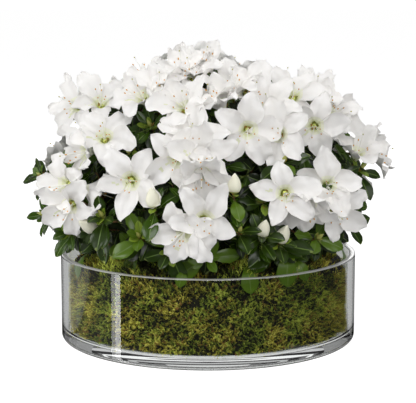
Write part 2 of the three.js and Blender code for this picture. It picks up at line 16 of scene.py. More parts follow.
import bpy
import numpy as np
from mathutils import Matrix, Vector


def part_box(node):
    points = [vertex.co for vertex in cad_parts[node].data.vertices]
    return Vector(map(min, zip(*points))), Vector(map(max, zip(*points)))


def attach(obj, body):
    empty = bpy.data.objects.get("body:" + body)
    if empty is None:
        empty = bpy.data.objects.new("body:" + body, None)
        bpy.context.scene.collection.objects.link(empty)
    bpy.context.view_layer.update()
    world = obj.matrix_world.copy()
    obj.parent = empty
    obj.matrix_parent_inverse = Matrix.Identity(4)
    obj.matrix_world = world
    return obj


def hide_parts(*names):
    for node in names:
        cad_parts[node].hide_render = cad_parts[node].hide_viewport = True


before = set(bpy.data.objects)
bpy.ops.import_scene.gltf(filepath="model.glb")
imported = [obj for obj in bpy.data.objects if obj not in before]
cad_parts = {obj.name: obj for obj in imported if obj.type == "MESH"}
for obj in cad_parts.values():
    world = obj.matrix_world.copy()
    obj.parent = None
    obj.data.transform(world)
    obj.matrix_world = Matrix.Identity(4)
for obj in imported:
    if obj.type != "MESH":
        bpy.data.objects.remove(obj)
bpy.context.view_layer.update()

LOG = logging.getLogger("azalea")

MM = 0.001
SEED = 7
WORD = 0xFFFFFFFF  # the bits of a draw
UP = np.array([0.0, 0.0, 1.0])
GOLDEN = math.pi * (3 - math.sqrt(5))

# Limits of draws: the phase of a wave in radians, and a turn about an axis in degrees.
ANY_PHASE = (0, 6.28)
ANY_TURN = (0, 360)

# The first key of each kind of thing that draws. Kinds that share keys share no use of them.
STEM_KEY = 90
FRONT_SHOOT_KEY, SKIRT_SHOOT_KEY, SPIRAL_SHOOT_KEY = 500, 600, 700
INNER_SHOOT_KEY, DEEP_SHOOT_KEY, TUCKED_LEAF_KEY = 2000, 3000, 3000
PETAL_KEY, STAMEN_KEY = 5000, 9000
SIDE_MOSS_KEY, TOP_MOSS_KEY = 40000, 70000

MASSES = sum(1 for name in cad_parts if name.startswith("foliage_"))
FOLIAGE_NODES = [f"foliage_{i + 1:02d}" for i in range(MASSES)]
BOUGH_NODES = [f"bough_{i + 1:02d}" for i in range(MASSES)]


# ---- Numbers and directions ------------------------------------------------------------------


def draw(key: np.ndarray | int, channel: int) -> np.ndarray:
    """Repeatable draws between 0 and 1, by mixing the bits of a number with odd products.

    Args:
        key: A number, or an array of numbers, one for each thing.
        channel: The use that the draw is for. Two uses share a number only if their keys differ.

    Returns:
        One draw for each key.
    """
    mask = np.uint64(WORD)
    salt = np.uint64(((channel + 1) * 0x85EBCA6B ^ SEED * 0xC2B2AE35) & WORD)
    h = (np.asarray(key).astype(np.int64) + 1).astype(np.uint64)
    h = ((h * np.uint64(0x9E3779B1)) & mask) ^ salt
    h = ((h ^ (h >> np.uint64(15))) * np.uint64(0x2C1B3C6D)) & mask
    h = ((h ^ (h >> np.uint64(12))) * np.uint64(0x297A2D39)) & mask
    return (h ^ (h >> np.uint64(15))).astype(float) / 2**32


def spread(key: np.ndarray | int, channel: int, low: float, high: float) -> np.ndarray:
    """Repeatable draws between two limits."""
    return low + (high - low) * draw(key, channel)


def unit(vectors: np.ndarray) -> np.ndarray:
    """Vectors along the last axis, scaled to length 1."""
    return vectors / np.maximum(np.linalg.norm(vectors, axis=-1, keepdims=True), 1e-9)


def pointing(heading: np.ndarray | float, lift: np.ndarray | float) -> np.ndarray:
    """Unit vectors to a heading, lifted above the level, both in degrees."""
    h, up = np.radians(heading), np.radians(lift)
    level = np.cos(up)
    return np.stack([np.sin(h) * level, -np.cos(h) * level, np.sin(up) * np.ones_like(h)], -1)


def turns(count: int) -> np.ndarray:
    """Angles that part a full turn evenly, in radians."""
    return np.arange(count) * 2 * math.pi / count


def outward(a: np.ndarray) -> np.ndarray:
    """Level unit vectors at angles from +X in radians."""
    return np.stack([np.cos(a), np.sin(a), 0 * a], -1)


def heading_of(at: np.ndarray) -> np.ndarray:
    """The heading in degrees of points seen from the plant's axis."""
    return np.degrees(np.arctan2(at[..., 0], -at[..., 1]))


def ease(x: np.ndarray) -> np.ndarray:
    """A smooth step from 0 to 1: three times the square less twice the cube."""
    x = np.clip(x, 0, 1)
    return x * x * (3 - 2 * x)


def bases(axis: np.ndarray, turn: np.ndarray) -> np.ndarray:
    """Frames whose third row is `axis`, turned about it.

    Args:
        axis: Unit vectors, (n, 3).
        turn: Turns in degrees, (n,).

    Returns:
        Three unit rows for each frame, (n, 3, 3).
    """
    steep = np.abs(axis[:, 2:]) > 0.97
    side = unit(np.cross(np.where(steep, [0.0, -1.0, 0.0], UP), axis))
    a = np.radians(turn)[:, None]
    x = side * np.cos(a) + np.cross(axis, side) * np.sin(a)
    return np.stack([x, np.cross(axis, x), axis], 1)


def bezier(controls: np.ndarray, t: np.ndarray) -> np.ndarray:
    """Points of cubic curves: the four controls weighted by the Bernstein products of t.

    Args:
        controls: (n, 4, 3).
        t: (s,), from 0 to 1.

    Returns:
        (n, s, 3).
    """
    s = 1 - t
    weights = np.stack([s**3, 3 * s * s * t, 3 * s * t * t, t**3], -1)
    return np.einsum("sk,nkd->nsd", weights, controls)


# ---- Finishes --------------------------------------------------------------------------------


def linear(code: int) -> tuple[float, float, float, float]:
    """A colour written as 0xRRGGBB, in the renderer's linear light."""
    parts = np.array([(code >> shift) & 255 for shift in (16, 8, 0)]) / 255
    parts = np.where(parts <= 0.04045, parts / 12.92, ((parts + 0.055) / 1.055) ** 2.4)
    return (*map(float, parts), 1.0)


def set_inputs(node: bpy.types.Node, values: dict[str, object]) -> None:
    """Sets inputs of a node by their names."""
    for name, value in values.items():
        node.inputs[name].default_value = value


def new_material(name: str) -> tuple[bpy.types.Material, bpy.types.Node]:
    """A new node material and its shader."""
    made = bpy.data.materials.new(name)
    made.use_nodes = True
    return made, made.node_tree.nodes["Principled BSDF"]


@dataclass(frozen=True)
class Relief:
    """A bump by noise on the object's own coordinates."""

    scale: float
    detail: float
    strength: float
    depth: float
    stretch: tuple[float, float, float] = (1.0, 1.0, 1.0)

    def add(self, tree: bpy.types.NodeTree, shader: bpy.types.Node) -> bpy.types.Node:
        """Bumps the shader's surface.

        Args:
            tree: The material's nodes.
            shader: Its shader.

        Returns:
            The noise, for other uses.
        """
        nodes, links = tree.nodes, tree.links
        place, mapping = nodes.new("ShaderNodeTexCoord"), nodes.new("ShaderNodeMapping")
        noise, bump = nodes.new("ShaderNodeTexNoise"), nodes.new("ShaderNodeBump")
        set_inputs(mapping, {"Scale": self.stretch})
        set_inputs(noise, {"Scale": self.scale, "Detail": self.detail})
        set_inputs(bump, {"Strength": self.strength, "Distance": self.depth * MM})
        links.new(place.outputs["Object"], mapping.inputs["Vector"])
        links.new(mapping.outputs["Vector"], noise.inputs["Vector"])
        links.new(noise.outputs["Fac"], bump.inputs["Height"])
        links.new(bump.outputs["Normal"], shader.inputs["Normal"])
        return noise


@dataclass(frozen=True)
class Finish:
    """A finish of one colour, with the gloss of its surface and the light that goes into it."""

    name: str
    color: int
    roughness: float = 0.5
    subsurface: float = 0.0
    gloss: float = 0.5
    scatter: tuple[float, float, float] = (1.0, 1.0, 0.9)
    scatter_depth: float = 3.0

    def material(self) -> bpy.types.Material:
        """The finish as a node material, made once.

        Returns:
            The material, the same one each time.
        """
        found = bpy.data.materials.get(self.name)
        if found:
            return found
        made, shader = new_material(self.name)
        set_inputs(shader, {
            "Base Color": linear(self.color),
            "Roughness": self.roughness,
            "Subsurface Weight": self.subsurface,
            "Subsurface Radius": self.scatter,
            "Subsurface Scale": self.scatter_depth * MM,
            "Specular IOR Level": self.gloss,
        })
        made.diffuse_color = linear(self.color)
        self.dress(made.node_tree, shader)
        return made

    def dress(self, tree: bpy.types.NodeTree, shader: bpy.types.Node) -> None:
        """Adds the finish's own pattern. A plain finish has none."""


@dataclass(frozen=True)
class Mottled(Finish):
    """A finish that drifts between two colours, over a rough surface."""

    other: int = 0
    relief: Relief = Relief(scale=60.0, detail=6.0, strength=0.4, depth=0.4)
    ramp: tuple[float, float] = (0.35, 0.68)

    def dress(self, tree: bpy.types.NodeTree, shader: bpy.types.Node) -> None:
        """The relief's noise, through a ramp to the colour.

        Args:
            tree: The material's nodes.
            shader: Its shader.
        """
        noise = self.relief.add(tree, shader)
        ramp = tree.nodes.new("ShaderNodeValToRGB")
        colors = (self.color, self.other)
        for stop, position, color in zip(ramp.color_ramp.elements, self.ramp, colors):
            stop.position, stop.color = position, linear(color)
        tree.links.new(noise.outputs["Fac"], ramp.inputs["Fac"])
        tree.links.new(ramp.outputs["Color"], shader.inputs["Base Color"])


@dataclass(frozen=True)
class ClearGlass(Finish):
    """Polished clear glass with the faint waviness of pressed ware."""

    waviness: Relief = Relief(scale=14.0, detail=1.0, strength=0.02, depth=2.0)
    transmission: float = 1.0
    bending: float = 1.5

    def dress(self, tree: bpy.types.NodeTree, shader: bpy.types.Node) -> None:
        """Lets light through, and adds the waviness."""
        set_inputs(shader, {"Transmission Weight": self.transmission, "IOR": self.bending})
        self.waviness.add(tree, shader)


class LeafTone(Enum):
    """The greens that whole sprays of leaves take: the first is painted shade for leaves deep in
    the crown, and sprays that lie deeper or lower take more of the darker greens, which is painted
    shade too.
    """

    # Painted shade: the darkest green, dealt to leaves inside the crown in place of the shade
    # there.
    PAINTED_SHADE = Finish("leaf_painted_shade", 0x182406, roughness=0.34, gloss=0.35)
    DEEP = Finish("leaf_deep", 0x253809, roughness=0.28, gloss=0.4)
    DARK = Finish("leaf_dark", 0x344E0E, roughness=0.26, gloss=0.4)
    MID = Finish("leaf_mid", 0x506C16, roughness=0.28, gloss=0.4)
    YOUNG = Finish("leaf_young", 0x7E9630, roughness=0.34, gloss=0.4)


class MossTone(Enum):
    """The colours that sprigs of moss take, from lit tips to dead stems: an olive ladder and a
    fresh-green ladder that each climb from painted shade to a painted highlight, and the brown of
    the dead.
    """

    # Painted shade: the lowest rung of both ladders.
    DARK = Finish("moss_shaded", 0x2C2D0E, roughness=0.9)
    GREEN = Finish("moss_green", 0x848426, roughness=0.85)
    OLIVE = Finish("moss_olive", 0xB6AB3A, roughness=0.85)
    # Painted highlight: the top rung of the olive ladder.
    BRIGHT = Finish("moss_olive_highlight", 0xEAE468, roughness=0.8)
    BROWN = Finish("moss_brown", 0x9A7038, roughness=0.9)
    LEAF = Finish("moss_leaf", 0x6C8026, roughness=0.85)
    FRESH = Finish("moss_fresh", 0xA0AE3A, roughness=0.85)
    # Painted highlight: the top rung of the fresh-green ladder.
    FRESH_HIGHLIGHT = Finish("moss_fresh_highlight", 0xCEDA5A, roughness=0.8)

    @property
    def number(self) -> int:
        """The tone's place in the list of tones, from 0."""
        return list(MossTone).index(self)


LEAF_UNDERSIDE = Finish("leaf_underside", 0x6D7C3A, roughness=0.6)
LEAF_RIB = Finish("leaf_rib", 0x5C7630, roughness=0.4)
PETAL_WHITE = Finish("petal_white", 0xFAF8F5, roughness=0.6, subsurface=0.25, gloss=0.2)
PETAL_CREAM = Finish("petal_cream", 0xF8F9E4, roughness=0.6, subsurface=0.3, gloss=0.2)
THROAT_GREEN = Finish("throat_green", 0xE6F08C, roughness=0.6, subsurface=0.5, gloss=0.2)
THROAT_PALE = Finish("throat_pale", 0xF2F6CC, roughness=0.6, subsurface=0.4, gloss=0.2)
FLECK_GREEN = Finish("fleck_green", 0xECEFCE, roughness=0.6, subsurface=0.3, gloss=0.2)
FILAMENT_WHITE = Finish("filament_white", 0xF7F6F0, roughness=0.5)
ANTHER_ORANGE = Finish("anther_orange", 0xD8A04C, roughness=0.7)
STIGMA_GREEN = Finish("stigma_green", 0xB7B36A, roughness=0.5)
STALK_GREEN = Finish("stalk_green", 0x8A8F3C, roughness=0.5)
BUD_CREAM = Finish("bud_cream", 0xF3F1DC, roughness=0.5, subsurface=0.15)
BUD_GREEN = Finish("bud_green", 0xB4B662, roughness=0.5)
SCALE_TAN = Finish("scale_tan", 0xA8863E, roughness=0.6)
TWIG_RELIEF = Relief(scale=300.0, detail=6.0, strength=0.4, depth=0.4)
BARK_RELIEF = Relief(scale=140.0, detail=6.0, strength=0.4, depth=0.8, stretch=(1.0, 1.0, 0.3))
BED_RELIEF = Relief(scale=120.0, detail=6.0, strength=0.8, depth=2.0)
TWIG_BROWN = Mottled("twig_brown", 0x5A4028, 0.8, other=0x7A6038, relief=TWIG_RELIEF)
BARK_BROWN = Mottled("bark_brown", 0x3A2A1C, 0.9, other=0x6E5840, relief=BARK_RELIEF)
# Painted shade: the bed is near black so that the gaps between the sprigs read as shade.
MOSS_BED_SHADE = Mottled("moss_bed_shade", 0x0C0B05, 0.95, other=0x1E1D0A, relief=BED_RELIEF)
GLASS_CLEAR = ClearGlass("glass_clear", 0xFCFEFD, 0.0)
# Painted highlight: a whiter band, only half clear, on the rim's crest in place of the bright line
# that light draws along the rim.
GLASS_RIM_HIGHLIGHT = ClearGlass("glass_rim_highlight", 0xF4F4F2, 0.12, transmission=0.5)


# ---- Skins: points and faces on their way into a mesh -----------------------------------------


def sleeve(stations: int, ring: int) -> list[np.ndarray]:
    """Faces of a sleeve of rings: quads between neighbouring rings and a lid on each end.

    Args:
        stations: How many rings it has.
        ring: How many points each ring has, anticlockwise about the way it runs.

    Returns:
        The quads and the two lids, as point numbers.
    """
    k = np.arange(ring)
    after = (k + 1) % ring
    start = np.arange(stations - 1)[:, None] * ring
    quads = np.stack([start + k, start + after, start + ring + after, start + ring + k], -1)
    return [quads.reshape(-1, 4), np.stack([k[::-1], (stations - 1) * ring + k])]


@dataclass
class Skin:
    """Points and faces of things of one kind, gathered for one mesh."""

    points: list[np.ndarray] = field(default_factory=list)
    faces: list[np.ndarray] = field(default_factory=list)
    finish: list[np.ndarray] = field(default_factory=list)
    total: int = 0

    def add(
        self, points: np.ndarray, faces: list[np.ndarray], finish: list[np.ndarray] | None = None
    ) -> Skin:
        """Adds copies of one thing.

        Args:
            points: (copies, ..., 3), in the order that the faces number them.
            faces: Arrays of faces with the same number of corners.
            finish: For each array of faces, the finish's number on each face, and 0 if left out.
                It may hold one row for each copy.

        Returns:
            The skin itself, so that one addition can follow another.
        """
        copies = len(points)
        points = points.reshape(copies, -1, 3)
        shift = self.total + np.arange(copies)[:, None, None] * points.shape[1]
        for i, group in enumerate(faces):
            number = np.zeros(len(group), int) if finish is None else finish[i]
            self.faces.append((group[None] + shift).reshape(-1, group.shape[1]))
            self.finish.append(np.broadcast_to(number, (copies, len(group))).ravel())
        self.points.append(points.reshape(-1, 3))
        self.total += copies * points.shape[1]
        return self

    def add_sleeves(self, rings: np.ndarray, finish: list[np.ndarray] | None = None) -> Skin:
        """Adds closed sleeves, whose rings are (copies, stations, ring, 3)."""
        return self.add(rings, sleeve(*rings.shape[1:3]), finish)

    @property
    def triangles(self) -> int:
        """How many triangles the faces come to."""
        return sum(len(group) * (group.shape[1] - 2) for group in self.faces)


def all_of(finish: int, rings: np.ndarray) -> list[np.ndarray]:
    """Finish numbers for sleeves of one finish, whose rings are (copies, stations, ring, 3)."""
    return [np.full((rings.shape[1] - 1) * rings.shape[2], finish), np.full(2, finish)]


@dataclass(frozen=True)
class Role:
    """What a piece stands for in the solid model."""

    slot: str
    nodes: tuple[str, ...]


BARK_OF_STEM = Role("bark", ("main_stem",))
BARK_OF_BOUGHS = Role("bark", tuple(BOUGH_NODES))
FOLIAGE = Role("foliage", tuple(FOLIAGE_NODES))
GLASS = Role("clear_glass", ("glass_bowl",))
MOSS = Role("moss", ("moss_fill",))


def make_piece(
    name: str, skin: Skin, finishes: list[Finish], role: Role, crease: float = 60.0
) -> bpy.types.Object:
    """Puts a skin into a mesh, dresses it and lets it ride on the plant's body.

    Args:
        name: The piece's name.
        skin: What it is made of.
        finishes: The finishes that its face numbers name.
        role: The solids that it stands for, whose parts are hidden; its material slot is not used.
        crease: Edges that bend more than this many degrees stay sharp.

    Returns:
        The piece.
    """
    mesh = bpy.data.meshes.new(name)
    points = np.concatenate(skin.points) * MM
    corners = np.concatenate([group.ravel() for group in skin.faces]).astype(np.int32)
    sizes = np.concatenate([np.full(len(group), group.shape[1]) for group in skin.faces])
    starts = (np.cumsum(sizes) - sizes).astype(np.int32)
    mesh.vertices.add(len(points))
    mesh.vertices.foreach_set("co", points.astype(np.float32).ravel())
    mesh.loops.add(len(corners))
    mesh.loops.foreach_set("vertex_index", corners)
    mesh.polygons.add(len(starts))
    mesh.polygons.foreach_set("loop_start", starts)
    mesh.polygons.foreach_set("material_index", np.concatenate(skin.finish).astype(np.int32))
    mesh.polygons.foreach_set("use_smooth", np.ones(len(starts), bool))
    mesh.update(calc_edges=True)
    mesh.validate()
    mesh.set_sharp_from_angle(angle=math.radians(crease))
    for finish in finishes:
        mesh.materials.append(finish.material())
    piece = bpy.data.objects.new(name, mesh)
    bpy.context.scene.collection.objects.link(piece)
    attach(piece, "root")
    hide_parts(*role.nodes)
    LOG.info("%s: %d triangles", name, skin.triangles)
    return piece


def tube_rings(path: np.ndarray, radii: np.ndarray, sides: int) -> np.ndarray:
    """Rings of tubes: at each point of a path, a circle square to the path.

    Args:
        path: (n, stations, 3).
        radii: (n, stations) or anything that spreads to it; or (n, stations, sides).
        sides: How many points each ring has.

    Returns:
        (n, stations, sides, 3).
    """
    along = unit(np.gradient(path, axis=1))
    run = np.abs(path[:, -1] - path[:, 0])
    across = np.eye(3)[np.argmin(run, axis=1)][:, None]
    u = unit(np.cross(across, along))
    v = np.cross(along, u)
    a = turns(sides)
    if np.ndim(radii) < 3:
        radii = np.asarray(radii)[..., None]
    radii = np.broadcast_to(radii, path.shape[:2] + (sides,))
    circle = u[:, :, None] * np.cos(a)[:, None] + v[:, :, None] * np.sin(a)[:, None]
    return path[:, :, None] + circle * radii[..., None]


@dataclass(frozen=True)
class Section:
    """The cross-section of a blade: points over its top from one edge to the other, then below."""

    over: tuple[float, ...]
    under: tuple[float, ...]

    @property
    def across(self) -> np.ndarray:
        """The way of each point of the ring across the blade, from 1 to -1 and back."""
        return np.array(self.over + self.under)

    @property
    def below(self) -> np.ndarray:
        """How far each point lies towards the underside, from 0 to 1."""
        return np.array([0.0] * len(self.over) + [1 - u * u for u in self.under])


@dataclass
class Midline:
    """The middle line of blades that leave an axis: distance from it, height and slope from it."""

    radius: np.ndarray
    height: np.ndarray
    slope: np.ndarray

    @classmethod
    def along(cls, distance: np.ndarray, slope: np.ndarray, foot: float, base: float) -> Midline:
        """Adds up the steps of a line whose slope from the axis is known at each station.

        Args:
            distance: Length along the line at each station, (n, s).
            slope: Angle from the axis at each station, in radians, (n, s).
            foot: Distance from the axis at the start.
            base: Height at the start.

        Returns:
            The line, each array (n, s).
        """
        step = np.diff(distance, axis=-1)
        middle = (slope[:, 1:] + slope[:, :-1]) / 2
        zero = np.zeros(slope[:, :1].shape)
        radius = foot + np.concatenate([zero, np.cumsum(np.sin(middle) * step, -1)], -1)
        height = base + np.concatenate([zero, np.cumsum(np.cos(middle) * step, -1)], -1)
        return cls(radius, height, slope)

    def rings(self, side: np.ndarray, rise: np.ndarray, heading: np.ndarray) -> np.ndarray:
        """Rings about the line, in the frame of the axis.

        A point lies `side` along the level tangent and `rise` along the blade's upper normal,
        which faces the axis.

        Args:
            side: (n, s, ring).
            rise: (n, s, ring).
            heading: The blade's heading about the axis in radians, (n,).

        Returns:
            (n, s, ring, 3).
        """
        cos, sin = np.cos(self.slope)[..., None], np.sin(self.slope)[..., None]
        out = self.radius[..., None] - cos * rise
        up = self.height[..., None] + sin * rise
        c, s = np.cos(heading)[:, None, None], np.sin(heading)[:, None, None]
        return np.stack([out * c - side * s, out * s + side * c, up], -1)


def placed(rings: np.ndarray, frames: np.ndarray, origins: np.ndarray) -> np.ndarray:
    """Points of each thing moved from its own frame to where it stands.

    Args:
        rings: (n, ..., 3).
        frames: (n, 3, 3), with the frame's axes as rows.
        origins: (n, 3).

    Returns:
        The same shape as the rings.
    """
    flat = rings.reshape(len(rings), -1, 3)
    return (np.einsum("npk,nkd->npd", flat, frames) + origins[:, None]).reshape(rings.shape)


# ---- The rule by which the shrub grows --------------------------------------------------------


@dataclass(frozen=True)
class Crown:
    """The shell on which the blooms' bases sit: a dome above its middle, drawn in below it."""

    heart: float = 118.0
    middle: float = 134.0
    girth: float = 148.0
    rise: float = 126.0
    drop: float = 50.0
    tuck: float = 0.19
    rear: float = 0.94
    lowest: float = 1.32

    def radius(self, height: np.ndarray | float) -> np.ndarray:
        """The shell's radius: an ellipse's above the middle, and a parabola's below it.

        Args:
            height: Heights on the shell.

        Returns:
            Its radius at each height.
        """
        height = np.asarray(height, float)
        above = np.clip((height - self.middle) / self.rise, 0, 1)
        below = np.maximum(0, self.middle - height) / self.drop
        dome, skirt = np.sqrt(1 - above**2), 1 - self.tuck * below**2
        return self.girth * np.where(height >= self.middle, dome, skirt)

    def on_front(self, x: np.ndarray, height: np.ndarray) -> np.ndarray:
        """Points of the front shell with these x and heights, (n, 3)."""
        y = -np.sqrt(np.maximum(0, self.radius(height) ** 2 - x**2))
        return np.stack([x, y, height], -1)

    def on_spiral(self, count: int, scale: float) -> np.ndarray:
        """Points that spiral evenly down the shell from its top by the golden angle.

        Args:
            count: How many points.
            scale: Their distance as a share of the shell's.

        Returns:
            (count, 3).
        """
        i = np.arange(count)
        a = i * GOLDEN
        height = self.middle + self.rise * (1 - self.lowest * (i + 0.5) / count)
        size = scale * np.where(np.cos(a) < 0, self.rear, 1)
        above = np.maximum(0, height - self.middle)
        r = self.radius(height) * size
        return np.stack([r * np.sin(a), -r * np.cos(a), height - above * (1 - size)], -1)

    def share(self, at: np.ndarray) -> np.ndarray:
        """How far up the dome points lie, from 0 at its middle to 1 at its top."""
        return (at[:, 2] - self.middle) / self.rise


@dataclass(frozen=True)
class Tier:
    """A ring of foliage masses about the heart: their number, lift and first heading."""

    count: int
    lift: float
    heading: float
    entry: float
    hub: float


TIERS = (Tier(8, 6, 22.5, 66, 90), Tier(6, 38, 30, 68, 90), Tier(3, 70, 60, 62, 84))

# Blooms of the front: x, height, heading and lift of the way they face, turn of the first petal,
# and how far the petals spread from the bloom's axis, in degrees.
BLOOMS = (
    # left shoulder
    (-120, 218, -40, 24, 150, 76), (-98, 222, 2, 50, 90, 66), (-91, 197, -4, 38, 90, 74),
    (-56, 230, -35, 48, 100, 66), (-43, 235, 15, 56, 120, 60),
    # top
    (-22, 250, -28, 62, 80, 58), (-13, 248, -8, 50, 105, 62), (-5, 253, 14, 62, 95, 62),
    (22, 236, -12, 60, 70, 60), (34, 237, 22, 24, 90, 70), (13, 226, -45, 52, 90, 40),
    # right shoulder
    (77, 231, -6, 34, 100, 66), (95, 227, 18, 56, 70, 60), (108, 213, 20, 46, 110, 64),
    (112, 211, 32, 20, 60, 74), (95, 208, 0, 5, 108, 76), (62, 204, -5, 15, 75, 74),
    (56, 223, -10, 36, 95, 62),
    # right side
    (137, 174, 12, 56, 90, 52), (147, 175, 72, 12, 60, 50),
    (66, 156, 0, 6, 62, 80), (104, 158, 8, 12, 56, 80), (110, 138, 12, -14, 82, 74),
    (88, 150, -8, -38, 90, 66),
    # middle
    (34, 209, 5, 3, 115, 80), (-19, 224, -12, 42, 90, 58), (-12, 203, 0, 30, 110, 70),
    (-25, 187, -3, 3, 104, 80), (-9, 188, 18, 6, 60, 66), (-6, 178, 8, -28, 100, 50),
    (-4, 136, 6, 4, 87, 72), (-18, 127, -22, -12, 140, 76),
    # left side
    (-104, 186, -60, 2, 150, 66), (-66, 167, -4, 0, 84, 76), (-124, 156, -46, 0, 140, 72),
    (-120, 140, -28, -16, 100, 76), (-110, 155, 100, -22, 90, 56),
)

# Leafy shoots of the front: x, height, lift of the shoot, and 1 for a white flower bud.
SHOOTS = (
    (-158, 153, 30, 0), (-154, 116, 8, 0), (-126, 110, 20, 0), (-92, 133, 50, 0), (-59, 118, 40, 0),
    (-46, 146, 65, 1), (-18, 152, 70, 0), (22, 158, 75, 1), (27, 125, 45, 0), (46, 120, 55, 1),
    (62, 113, 50, 1), (65, 182, 50, 0), (96, 112, 30, 0), (141, 163, 45, 0), (130, 117, 15, 0),
    (-34, 106, 10, 0), (-2, 100, 5, 0), (72, 102, 5, 0),
)


@dataclass
class Tips:
    """The ends of twigs: where they are, where they point, and what they carry."""

    at: np.ndarray
    axis: np.ndarray
    key: np.ndarray
    turn: np.ndarray
    flare: np.ndarray
    bud: np.ndarray

    def __len__(self) -> int:
        """How many tips there are."""
        return len(self.at)

    def where(self, mask: np.ndarray) -> Tips:
        """The tips that a mask picks."""
        return Tips(*(getattr(self, name)[mask] for name in self.__dataclass_fields__))

    def and_then(self, others: Tips) -> Tips:
        """These tips followed by others.

        Args:
            others: The tips that follow.

        Returns:
            All of them.
        """
        names = self.__dataclass_fields__
        pairs = ([getattr(self, name), getattr(others, name)] for name in names)
        return Tips(*(np.concatenate(pair) for pair in pairs))

    def frames(self) -> np.ndarray:
        """A frame for each tip, (n, 3, 3)."""
        return bases(self.axis, self.turn)

    def lit(self, pull: float = 0.9) -> Tips:
        """The same tips, with those at the sides of the front turned to the light before it.

        Args:
            pull: How far the outermost ones are turned.

        Returns:
            The turned tips.
        """
        front = np.clip(-self.at[:, 1] / 60 + 0.6, 0, 1)
        aside = np.clip(np.abs(self.at[:, 0]) / 110, 0, 1)
        pulled = (front * aside)[:, None] * pull * np.array([0.0, -1.0, 0.1])
        return replace(self, axis=unit(self.axis + pulled))


@dataclass(frozen=True)
class Planting:
    """How many blooms and shoots stand on the shell, and how far apart."""

    crown: Crown = Crown()
    blooms: int = 90
    bloom_gap: float = 37.0
    bloom_from: float = 26.0
    shoots: int = 230
    shoot_gap: float = 30.0
    shoot_to_bloom: float = 19.0
    shoot_inset: float = 0.92
    inner: tuple[tuple[int, float, int], ...] = (
        (360, 0.84, INNER_SHOOT_KEY),
        (230, 0.68, DEEP_SHOOT_KEY),
    )
    skirt: int = 13
    skirt_radius: float = 112.0
    skirt_height: float = 104.0
    budding: float = 0.12
    inner_from: float = 98.0

    def bloom_tips(self) -> Tips:
        """The blooms of the front, and those that spiral over the rear wherever they have room.

        Returns:
            The blooms, with the turn of their first petal and the spread of their petals.
        """
        x, height, heading, lift, turn, flare = np.array(BLOOMS, float).T
        at = list(self.crown.on_front(x, height))
        axis = list(pointing(heading, lift))
        turn, flare = list(turn), list(flare)
        for i, point in enumerate(self.crown.on_spiral(self.blooms, 1)):
            near_bloom = min(np.linalg.norm(point - other) for other in at)
            if point[1] < self.bloom_from or near_bloom < self.bloom_gap:
                continue
            rise = spread(i, 3, 5, 40) + self.crown.share(point[None])[0] * 40
            axis.append(pointing(heading_of(point) + spread(i, 4, -25, 25), rise))
            turn.append(spread(i, 5, 0, 72))
            flare.append(spread(i, 6, 58, 80))
            at.append(point)
        at, axis, turn, flare = map(np.array, (at, axis, turn, flare))
        return Tips(at, axis, np.arange(len(at)), turn, flare, np.zeros(len(at)))

    def shoot_tips(self, blooms: Tips) -> Tips:
        """The shoots of the front, a skirt inside the rim, and those that spiral between blooms.

        Args:
            blooms: The blooms that they keep clear of.

        Returns:
            The shoots.
        """
        x, height, lift, bud = np.array(SHOOTS, float).T
        front = self.crown.on_front(x, height)
        at, axis = list(front), list(pointing(heading_of(front), lift))
        key, bud = list(FRONT_SHOOT_KEY + np.arange(len(x))), list(bud)
        for i in range(self.skirt):
            heading = (i + 0.5) * 360 / self.skirt + spread(i, 7, -6, 6)
            level = self.skirt_height + spread(i, 8, -3, 5)
            at.append(pointing(heading, 0) * self.skirt_radius + UP * level)
            axis.append(pointing(heading, 12))
            key.append(SKIRT_SHOOT_KEY + i)
            bud.append(0)
        for i, point in enumerate(self.crown.on_spiral(self.shoots, self.shoot_inset)):
            near_shoot = min(np.linalg.norm(point - other) for other in at)
            near_bloom = np.linalg.norm(blooms.at - point, axis=1).min()
            if near_shoot <= self.shoot_gap or near_bloom <= self.shoot_to_bloom:
                continue
            rise = spread(i, 9, 20, 50) + self.crown.share(point[None])[0] * 30
            at.append(point)
            axis.append(pointing(heading_of(point), rise))
            key.append(SPIRAL_SHOOT_KEY + i)
            bud.append(1 if draw(i, 10) < self.budding else 0)
        at, axis, key, bud = map(np.array, (at, axis, key, bud))
        return Tips(at, axis, key, spread(key, 12, *ANY_TURN), np.zeros(len(key)), bud)

    def inner_tips(self, count: int, scale: float, first: int) -> Tips:
        """Finer leafy shoots on a shell inside the crown's own.

        Args:
            count: How many are dealt out.
            scale: The inner shell's size as a share of the crown's.
            first: The key of the first.

        Returns:
            The shoots above the moss.
        """
        at = self.crown.on_spiral(count, scale)
        key = first + np.arange(count)
        at = at + np.stack([spread(key, 30 + i, -6, 6) for i in range(3)], -1)
        lift = spread(key, 33, -5, 40) + self.crown.share(at) * 35
        axis = pointing(heading_of(at) + spread(key, 34, -40, 40), lift)
        tips = Tips(at, axis, key, spread(key, 12, *ANY_TURN), np.zeros(count), np.zeros(count))
        return tips.where(at[:, 2] > self.inner_from)


@dataclass
class Twigs:
    """Twigs as cubic curves, with a radius at each end."""

    controls: list[np.ndarray] = field(default_factory=list)
    radii: list[tuple[float, float]] = field(default_factory=list)

    def add(self, controls: list[np.ndarray], radii: tuple[float, float]) -> np.ndarray:
        """Adds one twig.

        Args:
            controls: Its four controls.
            radii: Its radii at the root and at the end.

        Returns:
            The controls, (4, 3).
        """
        curve = np.array(controls)
        self.controls.append(curve)
        self.radii.append(radii)
        return curve


